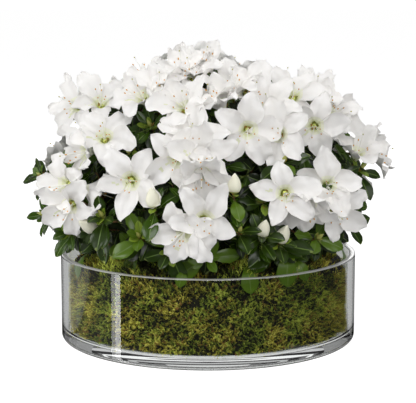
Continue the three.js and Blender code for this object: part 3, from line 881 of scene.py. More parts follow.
@dataclass
class Shrub:
    """The skeleton: boughs to each mass, and twigs to each tip.

    The radii of a kind of twig are those at its root and at its end.
    """

    planting: Planting = Planting()
    stem_foot: float = 88.0
    stem_base: float = 91.3
    stem_height: float = 24.0
    collar: float = 6.0
    leader_collar: float = 2.0
    mid_lift: float = 30.0
    leader_lift: float = 84.0
    side_root: float = 0.25
    bough_bend: float = 0.45
    thick_bough: float = 3.4
    thin_bough: float = 2.9
    bough_end: float = 2.3
    entry: float = 7.0
    entry_radii: tuple[float, float] = (2.4, 1.9)
    leader_radii: tuple[float, float] = (1.6, 0.9)
    twig_radii: tuple[float, float] = (1.2, 0.8)
    fine_radii: tuple[float, float] = (0.9, 0.6)
    knee: float = 12.0
    fine_knee: float = 9.0
    fine_gap: float = 8.0
    stalk: float = 3.0
    per_fork: int = 3

    def __post_init__(self) -> None:
        """Plans the masses and grows everything in order."""
        self.heart = UP * self.planting.crown.heart
        self.plan_masses()
        self.grow_boughs()
        self.blooms = self.planting.bloom_tips()
        self.shoots = self.planting.shoot_tips(self.blooms)
        self.inner = [self.planting.inner_tips(*shell) for shell in self.planting.inner]
        self.twigs = Twigs()
        self.fine = Twigs()
        self.grow_twigs()
        self.grow_fine_twigs()

    def plan_masses(self) -> None:
        """The direction of each mass's space, the tip of its bough and its hub."""
        level, heading, way, tip, hub = [], [], [], [], []
        for number, tier in enumerate(TIERS):
            for k in range(tier.count):
                heading.append(tier.heading + 360 / tier.count * k)
                way.append(pointing(heading[-1], tier.lift))
                tip.append(self.heart + way[-1] * tier.entry)
                hub.append(self.heart + way[-1] * tier.hub)
                level.append(number)
        self.level, self.heading = np.array(level), np.array(heading)
        self.way, self.tip, self.hub = np.array(way), np.array(tip), np.array(hub)

    def bough(self, root: np.ndarray, launch: np.ndarray, end: np.ndarray) -> np.ndarray:
        """A bough as a cubic curve: the quadratic one through a middle point along its launch."""
        middle = root + launch * np.linalg.norm(end - root) * self.bough_bend
        return np.array([root, root + (middle - root) * 2 / 3, end + (middle - end) * 2 / 3, end])

    def grow_boughs(self) -> None:
        """Boughs to the middle tier and a leader to the top, and side boughs off these."""
        top = UP * (self.stem_base + self.stem_height)
        curves: list[np.ndarray | None] = [None] * len(self.tip)
        low, mid, high = (np.flatnonzero(self.level == k) for k in range(3))
        for m in mid:
            launch = pointing(self.heading[m], self.mid_lift)
            curves[m] = self.bough(top - UP * self.collar, launch, self.tip[m])
        lead = high[0]
        launch = pointing(self.heading[lead], self.leader_lift)
        curves[lead] = self.bough(top - UP * self.leader_collar, launch, self.tip[lead])
        for m in low:
            gap = np.abs((self.heading[mid] - self.heading[m] + 540) % 360 - 180)
            parent = curves[mid[np.argmin(gap)]]
            root = bezier(parent[None], np.array([self.side_root]))[0, 0]
            curves[m] = self.bough(root, unit(self.tip[m] - root), self.tip[m])
        for k, m in enumerate(high[1:]):
            root = bezier(curves[lead][None], np.array([self.side_root * (k + 1)]))[0, 0]
            curves[m] = self.bough(root, unit(self.tip[m] - root), self.tip[m])
        self.boughs = np.array(curves)
        self.bough_radii = np.where(self.level == 0, self.thin_bough, self.thick_bough)
        self.bough_radii[high[1:]] = self.thin_bough

    def owner(self, at: np.ndarray) -> np.ndarray:
        """The number of the mass whose direction is nearest to that of each point."""
        return np.argmax(unit(at - self.heart) @ self.way.T, axis=1)

    def groups(self, mass: int, tips: Tips) -> list[np.ndarray]:
        """Groups of neighbouring tips, in order of their bearing about the mass's direction.

        Args:
            mass: The mass's number.
            tips: Its tips.

        Returns:
            The numbers of each group's tips.
        """
        frame_rows = bases(self.way[mass][None], np.zeros(1))[0]
        local = (tips.at - self.hub[mass]) @ frame_rows.T
        order = np.argsort(np.arctan2(local[:, 1], local[:, 0]), kind="stable")
        count = math.ceil(len(order) / self.per_fork)
        cuts = [int(k * len(order) / count + 0.5) for k in range(count + 1)]
        return [order[a:b] for a, b in zip(cuts, cuts[1:])]

    def grow_twigs(self) -> None:
        """A mass's stem to its hub, a leader off it to each group, and the rest off the leader."""
        tips = self.blooms.and_then(self.shoots)
        owner = self.owner(tips.at)
        for m in range(len(self.tip)):
            end = self.boughs[m][3]
            along = unit(end - self.boughs[m][2])
            bend = end + along * self.entry
            stem = [end - along, bend, (bend + self.hub[m]) / 2, self.hub[m]]
            self.twigs.add(stem, self.entry_radii)
            mine = tips.where(owner == m)
            for k, group in enumerate(self.groups(m, mine)):
                at, axis = mine.at[group], mine.axis[group]
                share = float(spread(m * 10 + k, 11, 0.4, 0.55))
                fork = self.hub[m] + (at.mean(0) - self.hub[m]) * share
                back = 0.0 if k == 0 else 0.15 + 0.3 * (k - 1)
                root = self.hub[m] + (bend - self.hub[m]) * back
                ends = self.last(at[0], axis[0])
                leader = self.twigs.add([root, fork, *ends], self.leader_radii)
                for j in range(1, len(group)):
                    start = bezier(leader[None], np.array([0.42 - 0.14 * (j - 1)]))[0, 0]
                    knee, foot = self.last(at[j], axis[j])
                    twig = [start, start + (knee - start) * 0.45, knee, foot]
                    self.twigs.add(twig, self.twig_radii)

    def last(self, at: np.ndarray, axis: np.ndarray) -> tuple[np.ndarray, np.ndarray]:
        """The knee and foot of the straight stalk under a tip."""
        return at - axis * self.knee, at - axis * self.stalk

    def grow_fine_twigs(self) -> None:
        """A short side twig to each inner shoot, from the nearest point of the twigs so far."""
        t = np.linspace(0.1, 0.8, 8)
        bare = bezier(np.array(self.twigs.controls), t).reshape(-1, 3)
        wood = np.concatenate([bare, bezier(self.boughs, t).reshape(-1, 3)])
        for tips in self.inner:
            away = np.linalg.norm(tips.at[:, None] - wood[None], axis=2)
            away = np.where(away < self.fine_gap, np.inf, away)
            start = wood[np.argmin(away, axis=1)]
            for at, axis, root in zip(tips.at, tips.axis, start):
                knee = at - axis * self.fine_knee
                twig = [root, root + (knee - root) * 0.5 - UP * 2, knee, at]
                self.fine.add(twig, self.fine_radii)


# ---- Bowl ------------------------------------------------------------------------------------


@dataclass
class Bowl:
    """A low round bowl of clear glass with a thick base and a rounded rim, whose crest carries a
    painted highlight.
    """

    radius: float
    height: float
    wall: float = 5.5
    base: float = 9.5
    kick: float = 6.5
    corner: float = 4.5
    rim: float = 1.5
    hollow: float = 5.0
    # How far down the rim's round the painted highlight on the crest reaches, as a share of the
    # rim.
    crest: float = 0.6
    segments: int = 224
    stations: int = 14

    @classmethod
    def fitted(cls) -> Bowl:
        """The bowl with the radius and height of its solid."""
        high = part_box("glass_bowl")[1]
        return cls(radius=high.x / MM, height=high.z / MM)

    @property
    def inner(self) -> float:
        """The radius of the inner wall."""
        return self.radius - self.wall

    @staticmethod
    def arc(r: float, z: float, size: float, start: float, end: float, steps: int) -> np.ndarray:
        """Points of a round about (r, z), from one angle to another in degrees."""
        a = np.radians(np.linspace(start, end, steps + 1))
        return np.stack([r + size * np.cos(a), z + size * np.sin(a)], -1)

    def floor(self, r: np.ndarray) -> np.ndarray:
        """The height of the inner floor: a parabola that rises by the kick at the middle."""
        return self.base + self.kick * np.maximum(0, 1 - (r / (self.inner - self.hollow)) ** 2)

    def profile(self) -> np.ndarray:
        """Half of the bowl's section, from the middle of its foot round the rim to its floor.

        Returns:
            The radius and height of each point, (n, 2).
        """
        rim, top, bottom = self.rim, self.height - self.rim, self.base + self.hollow
        foot = self.radius - self.corner
        floor = self.inner - self.hollow
        n = self.stations
        under, inside = np.linspace(4, foot - 1, n), np.linspace(floor - 1, 4, 30)
        return np.concatenate([
            np.stack([under, 0 * under], -1),
            self.arc(foot, self.corner, self.corner, -90, 0, 9),
            np.stack([np.full(n, self.radius), np.linspace(self.corner + 2, top - 1, n)], -1),
            self.arc(self.radius - rim, top, rim, 0, 90, 7),
            self.arc(self.inner + rim, top, rim, 90, 180, 7),
            np.stack([np.full(n, self.inner), np.linspace(top - 1, bottom + 1, n)], -1),
            self.arc(floor, bottom, self.hollow, 0, -90, 9),
            np.stack([inside, self.floor(inside)], -1),
        ])

    def build(self) -> None:
        """Turns the section about the axis: each point's circle is a ring of the sleeve."""
        profile = self.profile()
        a = turns(self.segments)
        r, z = profile[:, :1], profile[:, 1:]
        rings = np.stack([r * np.cos(a), r * np.sin(a), z + 0 * a], -1)
        # The faces high on the rim's crest take the painted highlight.
        high = profile[:, 1] > self.height - self.rim * self.crest
        highlit_crest = (high[:-1] & high[1:]).astype(int)
        faces = [np.repeat(highlit_crest, self.segments), np.zeros(2, int)]
        skin = Skin().add_sleeves(rings[None], faces)
        bowl = make_piece("bowl_glass", skin, [GLASS_CLEAR, GLASS_RIM_HIGHLIGHT], GLASS, crease=40)
        bowl.visible_shadow = False


# ---- Moss ------------------------------------------------------------------------------------


@dataclass(frozen=True)
class Tuft:
    """A tuft of taller, fresher moss, whose leaflets on top also take painted light: a bell curve
    about a place on the cushion.
    """

    x: float
    y: float
    size: float
    rise: float

    def bell(self, x: np.ndarray, y: np.ndarray) -> np.ndarray:
        """How far inside the tuft places are, from 0 to 1."""
        return np.exp(-((x - self.x) ** 2 + (y - self.y) ** 2) / self.size**2)


@dataclass
class Moss:
    """A packed cushion of feathery moss that fills the bowl to its rim and mounds above it.

    The waves of the patches are three numbers across x, y and z, and a phase. The dead are a share
    of the sprigs.
    """

    bowl: Bowl
    core: float = 127.0
    wall: float = 133.4
    crown: float = 90.0
    edge: float = 77.0
    shoulder: float = 9.0
    clearance: float = 0.4
    sag: float = 9.0
    sag_width: float = 20.0
    side_sprigs: int = 17000
    top_sprigs: int = 9000
    leaflets: int = 11
    dead: float = 0.1
    segments: int = 150
    tufts: tuple[Tuft, ...] = (Tuft(34, -117, 13, 12), Tuft(-88, -88, 14, 9), Tuft(74, -104, 12, 6))
    waves: tuple[tuple[float, float, float, float], ...] = (
        (0.12, 0.08, 0.15, 0.4), (-0.19, 0.16, 0.13, 2.1),
        (0.31, 0.25, -0.35, 4.0), (0.5, -0.56, 0.46, 1.2),
    )

    @property
    def floor(self) -> float:
        """The height of the moss's underside."""
        return self.bowl.base + self.clearance

    def top(self, x: np.ndarray, y: np.ndarray) -> np.ndarray:
        """The height of the cushion: a low dome with the tufts' bell curves and long swells.

        Args:
            x: The places' x.
            y: The places' y.

        Returns:
            The height at each place.
        """
        r = np.hypot(x, y)
        dome = self.crown - (self.crown - self.edge) * (r / self.core) ** 3
        for tuft in self.tufts:
            dome = dome + tuft.rise * tuft.bell(x, y)
        return dome - self.dip(x) + 1.6 * np.sin(x / 9 + 1.0) * np.cos(y / 11)

    def in_tuft(self, x: np.ndarray, y: np.ndarray) -> np.ndarray:
        """How far inside a tuft places are, from 0 to 1."""
        return sum(tuft.bell(x, y) for tuft in self.tufts)

    def dip(self, x: np.ndarray) -> np.ndarray:
        """How much lower the cushion lies towards the two sides: a bell curve about each."""
        return self.sag * np.exp(-(((np.abs(x) - self.core) / self.sag_width) ** 2))

    def patches(self, x: np.ndarray, y: np.ndarray, z: np.ndarray) -> np.ndarray:
        """Soft patches between -1.2 and 1.2: twice the mean of the waves."""
        total = sum(np.sin(a * x + b * y + c * z + d) for a, b, c, d in self.waves)
        return np.clip(total / len(self.waves) * 2.0, -1.2, 1.2)

    def bed(self) -> Skin:
        """The dark body of the cushion, whose near-black is painted shade for the gaps between the
        sprigs: its section turned about the axis, with swells.

        Returns:
            Its skin, a closed sleeve that starts and ends near the axis.
        """
        top = self.edge - self.shoulder
        round_off = np.radians(np.linspace(10, 80, 6))
        under = np.linspace(3, self.core - 3, 16)
        side = np.linspace(self.floor + 2, top, 22)
        over = np.linspace(self.core - self.shoulder - 2, 3, 26)
        r = np.concatenate([
            under, 0 * side + self.core, self.core - self.shoulder * (1 - np.cos(round_off)), over,
        ])[:, None]
        level = np.concatenate([
            self.floor + self.bowl.floor(under) - self.bowl.base,
            side,
            top + self.shoulder * np.sin(round_off),
            np.full(len(over), np.nan),
        ])[:, None]
        a = turns(self.segments)
        x, y = r * np.cos(a), r * np.sin(a)
        z = np.where(np.isnan(level), self.top(x, y) - 1, level)
        swell = 1 + 0.012 * self.patches(x, y, z) * (r > 20)
        return Skin().add_sleeves(np.stack([x * swell, y * swell, z], -1)[None])

    def side_roots(self) -> tuple[np.ndarray, np.ndarray, np.ndarray]:
        """Roots, directions and keys of the sprigs that press against the glass.

        Returns:
            Roots (n, 3), unit directions (n, 3) and keys (n,), by the golden angle up the wall.
        """
        i = np.arange(self.side_sprigs)
        key, a = SIDE_MOSS_KEY + i, i * GOLDEN
        x, y = self.core * np.cos(a), self.core * np.sin(a)
        low, high = self.floor + 1, self.edge - 3 - self.dip(x)
        z = low + (high - low) * (i + 0.5) / self.side_sprigs
        depth = self.core - 0.8 + 2.4 * self.patches(x, y, z) + spread(key, 40, -1.6, 1.6)
        root = np.stack([depth * np.cos(a), depth * np.sin(a), z], -1)
        around = np.stack([-np.sin(a), np.cos(a), 0 * a], -1)
        way = outward(a) * 0.8 + around * spread(key, 41, -1.0, 1.0)[:, None]
        way = way + UP * spread(key, 42, -0.7, 1.2)[:, None]
        return root, unit(way), key

    def top_roots(self) -> tuple[np.ndarray, np.ndarray, np.ndarray]:
        """Roots, directions and keys of the sprigs that stand on the cushion.

        Returns:
            Roots (n, 3), unit directions (n, 3) and keys (n,), spiralling out by the golden angle.
        """
        i = np.arange(self.top_sprigs)
        key, a = TOP_MOSS_KEY + i, i * GOLDEN
        r = (self.core + 3) * np.sqrt((i + 0.5) / self.top_sprigs)
        x, y = r * np.cos(a), r * np.sin(a)
        drop = np.maximum(0, r - self.core + self.shoulder) ** 2 / 18
        root = np.stack([x, y, self.top(x, y) - 2.0 - drop], -1)
        lean = [spread(key, 43, -0.8, 0.8), spread(key, 44, -0.8, 0.8), np.ones(len(key))]
        way = np.stack(lean, -1) + outward(a) * (r / self.core)[:, None] * 0.5
        return root, unit(way), key

    def sprigs(
        self, root: np.ndarray, way: np.ndarray, key: np.ndarray, length: np.ndarray
    ) -> np.ndarray:
        """Leaflets that spiral up each sprig: narrow triangles at a slant, shorter to its tip.

        Args:
            root: Where each sprig starts, (n, 3).
            way: Where it points, (n, 3).
            key: Its key, (n,).
            length: Its length, (n,).

        Returns:
            Three corners for each leaflet, (n, leaflets, 3, 3).
        """
        rows = bases(way, spread(key, 45, *ANY_TURN))
        way = way[:, None]
        k = np.arange(self.leaflets)
        up = (k / self.leaflets)[None] * length[:, None]
        turn = ((k * GOLDEN)[None] + spread(key, 46, *ANY_PHASE)[:, None])[..., None]
        size = length[:, None] * (0.5 - 0.28 * k / self.leaflets)
        slant = np.radians(52 - 30 * k / self.leaflets)[:, None]
        out = rows[:, None, 0] * np.cos(turn) + rows[:, None, 1] * np.sin(turn)
        side = np.cross(way, out)
        foot = root[:, None] + way * up[..., None]
        tip = foot + (out * np.sin(slant) + way * np.cos(slant)) * size[..., None]
        half = side * 0.3 + way * 0.08
        return np.stack([foot - half, foot + half, tip], 2)

    def dealt(self, root: np.ndarray, key: np.ndarray) -> np.ndarray:
        """The number of each leaflet's tone.

        Leaflets are lighter on swells of the cushion, in the tufts and towards their sprig's tip,
        as painted light, and darker in between as painted shade; on top of the cushion away from
        the tufts they are darker still, with the painted shadow of the leaves above.
        Whole sprigs are of a fresher green in broad patches and in the tufts, and in a few sprigs
        the lit leaflets are dead.

        Args:
            root: Where each sprig starts, (n, 3).
            key: Its key, (n,).

        Returns:
            (n, leaflets).
        """
        x, y, z = root.T
        in_tuft = self.in_tuft(x, y)
        on_top = np.clip((z - self.edge + 4) / 6, 0, 1)
        swell = self.patches(x, y, z) + spread(key, 47, -0.6, 0.7)
        # Painted shadow of the leaves above on the top of the cushion, turned to painted light in
        # the tufts.
        swell = swell + on_top * (2.4 * in_tuft - 1.0)
        # Painted light rises towards each sprig's tip, and the rungs run from painted shade at 0 to
        # a painted highlight at 3.
        light = swell[:, None] + np.linspace(-0.75, 0.75, self.leaflets)
        shade = np.select([light > 1.05, light > 0.3, light > -0.45], [3, 2, 1], 0)
        broad = self.patches(y / 3 + 40, z / 3, x / 3)
        fresh = broad + spread(key, 39, -0.7, 0.7) + 2 * in_tuft > 0.15
        greens = (MossTone.DARK, MossTone.LEAF, MossTone.FRESH, MossTone.FRESH_HIGHLIGHT)
        olives = (MossTone.DARK, MossTone.GREEN, MossTone.OLIVE, MossTone.BRIGHT)
        green, olive = (np.array([tone.number for tone in row])[shade] for row in (greens, olives))
        dead = (draw(key, 48) < self.dead)[:, None] & (light > 0)
        return np.where(dead, MossTone.BROWN.number, np.where(fresh[:, None], green, olive))

    def dress(
        self, name: str, root: np.ndarray, way: np.ndarray, key: np.ndarray, length: np.ndarray
    ) -> None:
        """Makes one piece of sprigs, kept inside the glass.

        Args:
            name: The piece's name.
            root: Where each sprig starts, (n, 3).
            way: Where it points, (n, 3).
            key: Its key, (n,).
            length: Its length, (n,).
        """
        corners = self.sprigs(root, way, key, length)
        r = np.hypot(corners[..., 0], corners[..., 1])
        keep = np.minimum(1, self.wall / r)
        corners[..., :2] *= keep[..., None]
        corners[..., 2] = np.maximum(corners[..., 2], self.floor)
        leaflets = np.arange(3 * self.leaflets).reshape(-1, 3)
        skin = Skin().add(corners, [leaflets], [self.dealt(root, key)])
        make_piece(name, skin, [tone.value for tone in MossTone], MOSS, crease=180)

    def build(self) -> None:
        """The bed, two pieces of sprigs behind the glass and one on top."""
        # The bed's near-black is painted shade in the gaps between the sprigs.
        make_piece("moss_bed_shade", self.bed(), [MOSS_BED_SHADE], MOSS)
        root, way, key = self.side_roots()
        length = spread(key, 49, 4.0, 7.5)
        left = root[:, 0] < 0
        for name, side in (("moss_side_left", left), ("moss_side_right", ~left)):
            self.dress(name, root[side], way[side], key[side], length[side])
        root, way, key = self.top_roots()
        tall = 1 + 0.7 * self.in_tuft(root[:, 0], root[:, 1])
        self.dress("moss_top", root, way, key, spread(key, 49, 5.0, 9.5) * tall)


# ---- Wood ------------------------------------------------------------------------------------


@dataclass
class Wood:
    """The short stem, the boughs and the twigs."""

    shrub: Shrub
    stem_sides: int = 28
    bough_sides: int = 18
    stations: int = 26
    flare_heights: tuple[float, ...] = (-4, 0, 3.2, 8, 24)
    flare_radii: tuple[float, ...] = (9.2, 8.3, 6.4, 5.5, 4.7)

    def relief(self, key: np.ndarray, stations: int, sides: int) -> np.ndarray:
        """Bark relief as a share of the radius: ridges that wander up the limb, and knots.

        Args:
            key: One number for each limb, (n,).
            stations: How many rings a limb has.
            sides: How many points a ring has.

        Returns:
            (n, stations, sides), about 1.
        """
        a = turns(sides)[None, None]
        t = np.linspace(0, 1, stations)[None, :, None]
        phase = [spread(key, 50 + i, *ANY_PHASE)[:, None, None] for i in range(4)]
        ridges = 0.05 * np.sin(6 * a + 3 * np.sin(5 * t + phase[0]) + phase[1])
        knots = 0.07 * np.sin(2 * a + 9 * t + phase[2]) * np.sin(23 * t + phase[3])
        return 1 + ridges + knots

    def stem(self) -> None:
        """The stem: a flared foot on the moss, tapering to the fork."""
        shrub = self.shrub
        top = shrub.stem_base + shrub.stem_height
        z = np.linspace(shrub.stem_foot, top, self.stations)
        lean = 0.8 * np.sin((z - z[0]) / 9)
        radius = np.interp(z - shrub.stem_base, self.flare_heights, self.flare_radii)
        path = np.stack([lean, 0.5 * lean, z], -1)[None]
        relief = self.relief(np.array([STEM_KEY]), len(z), self.stem_sides)
        rings = tube_rings(path, radius[None, :, None] * relief, self.stem_sides)
        make_piece("stem", Skin().add_sleeves(rings), [BARK_BROWN], BARK_OF_STEM)

    def boughs(self) -> None:
        """The boughs: each tapers from its root in its parent to where it enters its mass."""
        t = np.linspace(0, 1, self.stations)
        path = bezier(self.shrub.boughs, t)
        radius = self.shrub.bough_radii[:, None] * (1 - t) + self.shrub.bough_end * t
        relief = self.relief(np.arange(len(path)), len(t), self.bough_sides)
        rings = tube_rings(path, radius[..., None] * relief, self.bough_sides)
        make_piece("boughs", Skin().add_sleeves(rings), [BARK_BROWN], BARK_OF_BOUGHS)

    def twigs(self) -> None:
        """The twigs of the masses, and the finer ones that grow off them."""
        skin = Skin()
        for twigs, stations, sides in ((self.shrub.twigs, 12, 6), (self.shrub.fine, 7, 4)):
            t = np.linspace(0, 1, stations)
            ends = np.array(twigs.radii)
            radius = ends[:, :1] * (1 - t) + ends[:, 1:] * t
            skin.add_sleeves(tube_rings(bezier(np.array(twigs.controls), t), radius, sides))
        make_piece("twigs", skin, [TWIG_BROWN], FOLIAGE)

    def build(self) -> None:
        """Stem, boughs and twigs."""
        self.stem()
        self.boughs()
        self.twigs()


# ---- Leaves ----------------------------------------------------------------------------------


@dataclass(frozen=True)
class Rosette:
    """How leaves stand about the end of a shoot: their number, length and lean from its axis."""

    leaves: int
    length: float
    outer: float
    inner: float
    smallest: float = 0.55
    step: float = 1.3


@dataclass(frozen=True)
class Spray:
    """Rosettes on shoots of one kind.

    The shares are those of the shoots that take the first green, the first two, and so on. Sprays
    deeper in the crown and lower down have larger shares of the darker greens, as painted shade.
    """

    tips: Tips
    rosette: Rosette
    below: float
    shares: tuple[float, float, float, float]


@dataclass
class Leaves:
    """Glossy pointed oval leaves in rosettes, folded along the midrib and sagging to the tip.

    Each hanging leaf has the heading and height of its foot, its length, and its lean in degrees.
    """

    shrub: Shrub
    bowl: Bowl
    slenderness: float = 0.47
    thickness: float = 0.5
    section: Section = Section((1, 0.6, 0.07, -0.07, -0.6, -1), (0,))
    stations: tuple[float, ...] = (0, 0.08, 0.24, 0.45, 0.66, 0.84, 0.95, 1)
    most: int = 1700
    foot: float = 0.6
    gap: float = 0.9
    low: float = 45.0
    hanging: tuple[tuple[float, float, float, float], ...] = (
        (15, 92, 25, 6), (32, 103, 33, -4), (37, 94, 22, 20), (-9, 90, 17, -14),
        (-62, 92, 24, 10), (74, 95, 26, -12), (118, 94, 25, 8), (163, 96, 28, -6),
        (204, 92, 22, 12), (251, 95, 27, -8),
    )

    def outline(self) -> np.ndarray:
        """Half the leaf's width along it, as a share of the widest: a stalk, then an oval."""
        t = np.array(self.stations)
        blade = np.clip((t - 0.04) / 0.96, 0, 1)
        return np.maximum(0.09, np.sin(math.pi * blade**1.32) ** 0.74)

    def grow(
        self, tips: Tips, rosette: Rosette, below: float = 0.0
    ) -> tuple[np.ndarray, np.ndarray]:
        """Leaves round each tip, by the golden angle, smaller and steeper towards its end.

        Args:
            tips: The shoots.
            rosette: How the leaves stand.
            below: How far under the tip the rosette's end is.

        Returns:
            The leaves' rings, (n, stations, ring, 3), and the number of each leaf's tip.
        """
        n, count = len(tips), rosette.leaves
        order = np.tile(np.arange(count), n)
        which = np.repeat(np.arange(n), count)
        key = tips.key[which] * 16 + order
        late = order / max(1, count - 1)
        length = rosette.length * (1 - (1 - rosette.smallest) * late) * spread(key, 15, 0.85, 1.12)
        half = length * self.slenderness / 2 * spread(key, 16, 0.86, 1.2)
        tilt = rosette.outer + (rosette.inner - rosette.outer) * late + spread(key, 14, -11, 11)
        sag = np.radians(spread(key, 17, 4, 42))
        heading = order * GOLDEN + spread(key, 13, -0.3, 0.3)
        t = np.array(self.stations)
        slope = np.radians(tilt)[:, None] + sag[:, None] * t
        line = Midline.along(length[:, None] * t, slope, self.foot, 0.0)
        u, down = self.section.across, self.section.below
        half, wide = half[:, None, None], self.outline()[:, None]
        side = half * wide * u
        fold = spread(key, 18, 0.02, 0.34)[:, None, None]
        bulge = 0.12 * half * (np.abs(np.abs(u) - 0.6) < 0.1)
        wave = 0.06 * half * np.sin(7 * t[:, None] + 3 * u + key[:, None, None] % 7)
        rise = fold * np.abs(side) + (bulge - self.thickness * down) * wide + wave
        rings = line.rings(side, rise, heading)
        rings[..., 2] -= (below + rosette.step * (count - 1 - order))[:, None, None]
        return placed(rings, tips.frames()[which], tips.at[which]), which

    def tucked(self) -> np.ndarray:
        """Leaves that hang down between the moss and the glass: blades bent to the wall's round.

        Returns:
            Their rings, (n, stations, ring, 3).
        """
        heading, top, length, lean = (row[:, None, None] for row in np.array(self.hanging, float).T)
        key = TUCKED_LEAF_KEY + np.arange(len(self.hanging))
        t, wide = np.array(self.stations)[:, None], self.outline()[:, None]
        half = length * self.slenderness / 2 * spread(key, 16, 1.15, 1.45)[:, None, None]
        side = half * wide * self.section.across
        lean = np.radians(lean)
        r = self.bowl.inner - self.gap - 14 * np.maximum(0, 1 - t / 0.45) ** 2
        r = r - self.thickness * self.section.below * wide - 0.05 * np.abs(side)
        z = top - length * t * np.cos(lean) + side * np.sin(lean)
        drift = (length * t * np.sin(lean) + side * np.cos(lean)) / self.bowl.inner
        around = np.radians(heading) + drift
        return np.stack([r * np.sin(around), -r * np.cos(around), z], -1)

    def hangs_clear(self, rings: np.ndarray) -> np.ndarray:
        """Whether each leaf stays off the bowl's wall: inside it, or above its rim.

        Args:
            rings: The leaves' rings, (n, stations, ring, 3).

        Returns:
            One truth for each leaf.
        """
        middle = rings.mean(2)
        r, z = np.hypot(middle[..., 0], middle[..., 1]), middle[..., 2]
        return ~((r > self.bowl.inner - 3) & (z < self.bowl.height + 3)).any(1)

    def bares_blooms(
        self, rings: np.ndarray, reach: float = 26.0, room: float = 27.0
    ) -> np.ndarray:
        """Whether each leaf stays out of every bloom: off its petals and the room over them.

        Args:
            rings: The leaves' rings, (n, stations, ring, 3).
            reach: The radius of a bloom.
            room: How far the room over a bloom goes along its axis.

        Returns:
            One truth for each leaf.
        """
        middle = rings[:, 2:].mean(2)
        away = middle[:, :, None] - self.shrub.blooms.at
        along = np.einsum("nskd,kd->nsk", away, self.shrub.blooms.axis)
        across = np.sqrt(np.maximum(0, (away**2).sum(3) - along**2))
        within = (across < reach) & (along > 3.5 + 0.15 * across) & (along < room)
        return ~within.any((1, 2))

    def sprays(self) -> list[Spray]:
        """All the rosettes: on shoots and their young ends, below them, low down, and inside.

        Returns:
            The sprays, in the order in which their greens are dealt.
        """
        shoots, blooms = self.shrub.shoots, self.shrub.blooms
        inner, deep = self.shrub.inner
        low = shoots.where(shoots.at[:, 2] < self.bowl.height + self.low)
        # The rosettes below the tips, low down and inside are dealt darker greens as painted shade;
        # the young ends take the light green of new leaves.
        return [
            Spray(shoots, Rosette(7, 31, 86, 34), 0.0, (0.0, 0.3, 0.72, 1.0)),
            Spray(shoots, Rosette(4, 15, 48, 20), 0.0, (0.0, 0.0, 0.0, 0.3)),
            Spray(shoots, Rosette(3, 29, 96, 74), 13.0, (0.2, 0.6, 1.0, 1.0)),
            Spray(low, Rosette(4, 26, 128, 100), 12.0, (0.3, 0.7, 1.0, 1.0)),
            Spray(blooms, Rosette(5, 28, 100, 66), 11.0, (0.1, 0.55, 0.9, 1.0)),
            Spray(inner, Rosette(5, 28, 84, 30), 0.0, (0.6, 0.95, 1.0, 1.0)),
            Spray(deep, Rosette(4, 28, 84, 30), 0.0, (1.0, 1.0, 1.0, 1.0)),
        ]

    def build(self) -> None:
        """Deals each spray one green, and makes one piece or a few of each green."""
        grown: dict[LeafTone, list[np.ndarray]] = {tone: [] for tone in LeafTone}
        for number, spray in enumerate(self.sprays()):
            rings, which = self.grow(spray.tips.lit(), spray.rosette, spray.below)
            # Each shoot's rosette takes one green by its spray's shares, darker for deeper sprays
            # as painted shade.
            dealt = np.searchsorted(spray.shares, draw(spray.tips.key, 60 + number))[which]
            clear = self.hangs_clear(rings) & self.bares_blooms(rings)
            for i, tone in enumerate(LeafTone):
                grown[tone].append(rings[(dealt == i) & clear])
        # The leaves behind the glass all take the mid green, lighter than their neighbours, as
        # painted light in place of the sheen that they lack there.
        grown[LeafTone.MID].append(self.tucked())
        top, underside, rib = range(3)
        tops = len(self.section.over) - 1
        sides = np.full((len(self.stations) - 1, len(self.section.across)), top)
        sides[:, tops:] = underside
        sides[:-1, tops // 2] = rib
        faces = [sides.ravel(), np.array([rib, top])]
        for tone, groups in grown.items():
            leaves = np.concatenate(groups)
            finishes = [tone.value, LEAF_UNDERSIDE, LEAF_RIB]
            for number, part in enumerate(np.array_split(leaves, 1 + len(leaves) // self.most)):
                name = f"leaves_{tone.name.lower()}_{number + 1}"
                make_piece(name, Skin().add_sleeves(part, faces), finishes, FOLIAGE, crease=100)


# ---- Blossom ---------------------------------------------------------------------------------


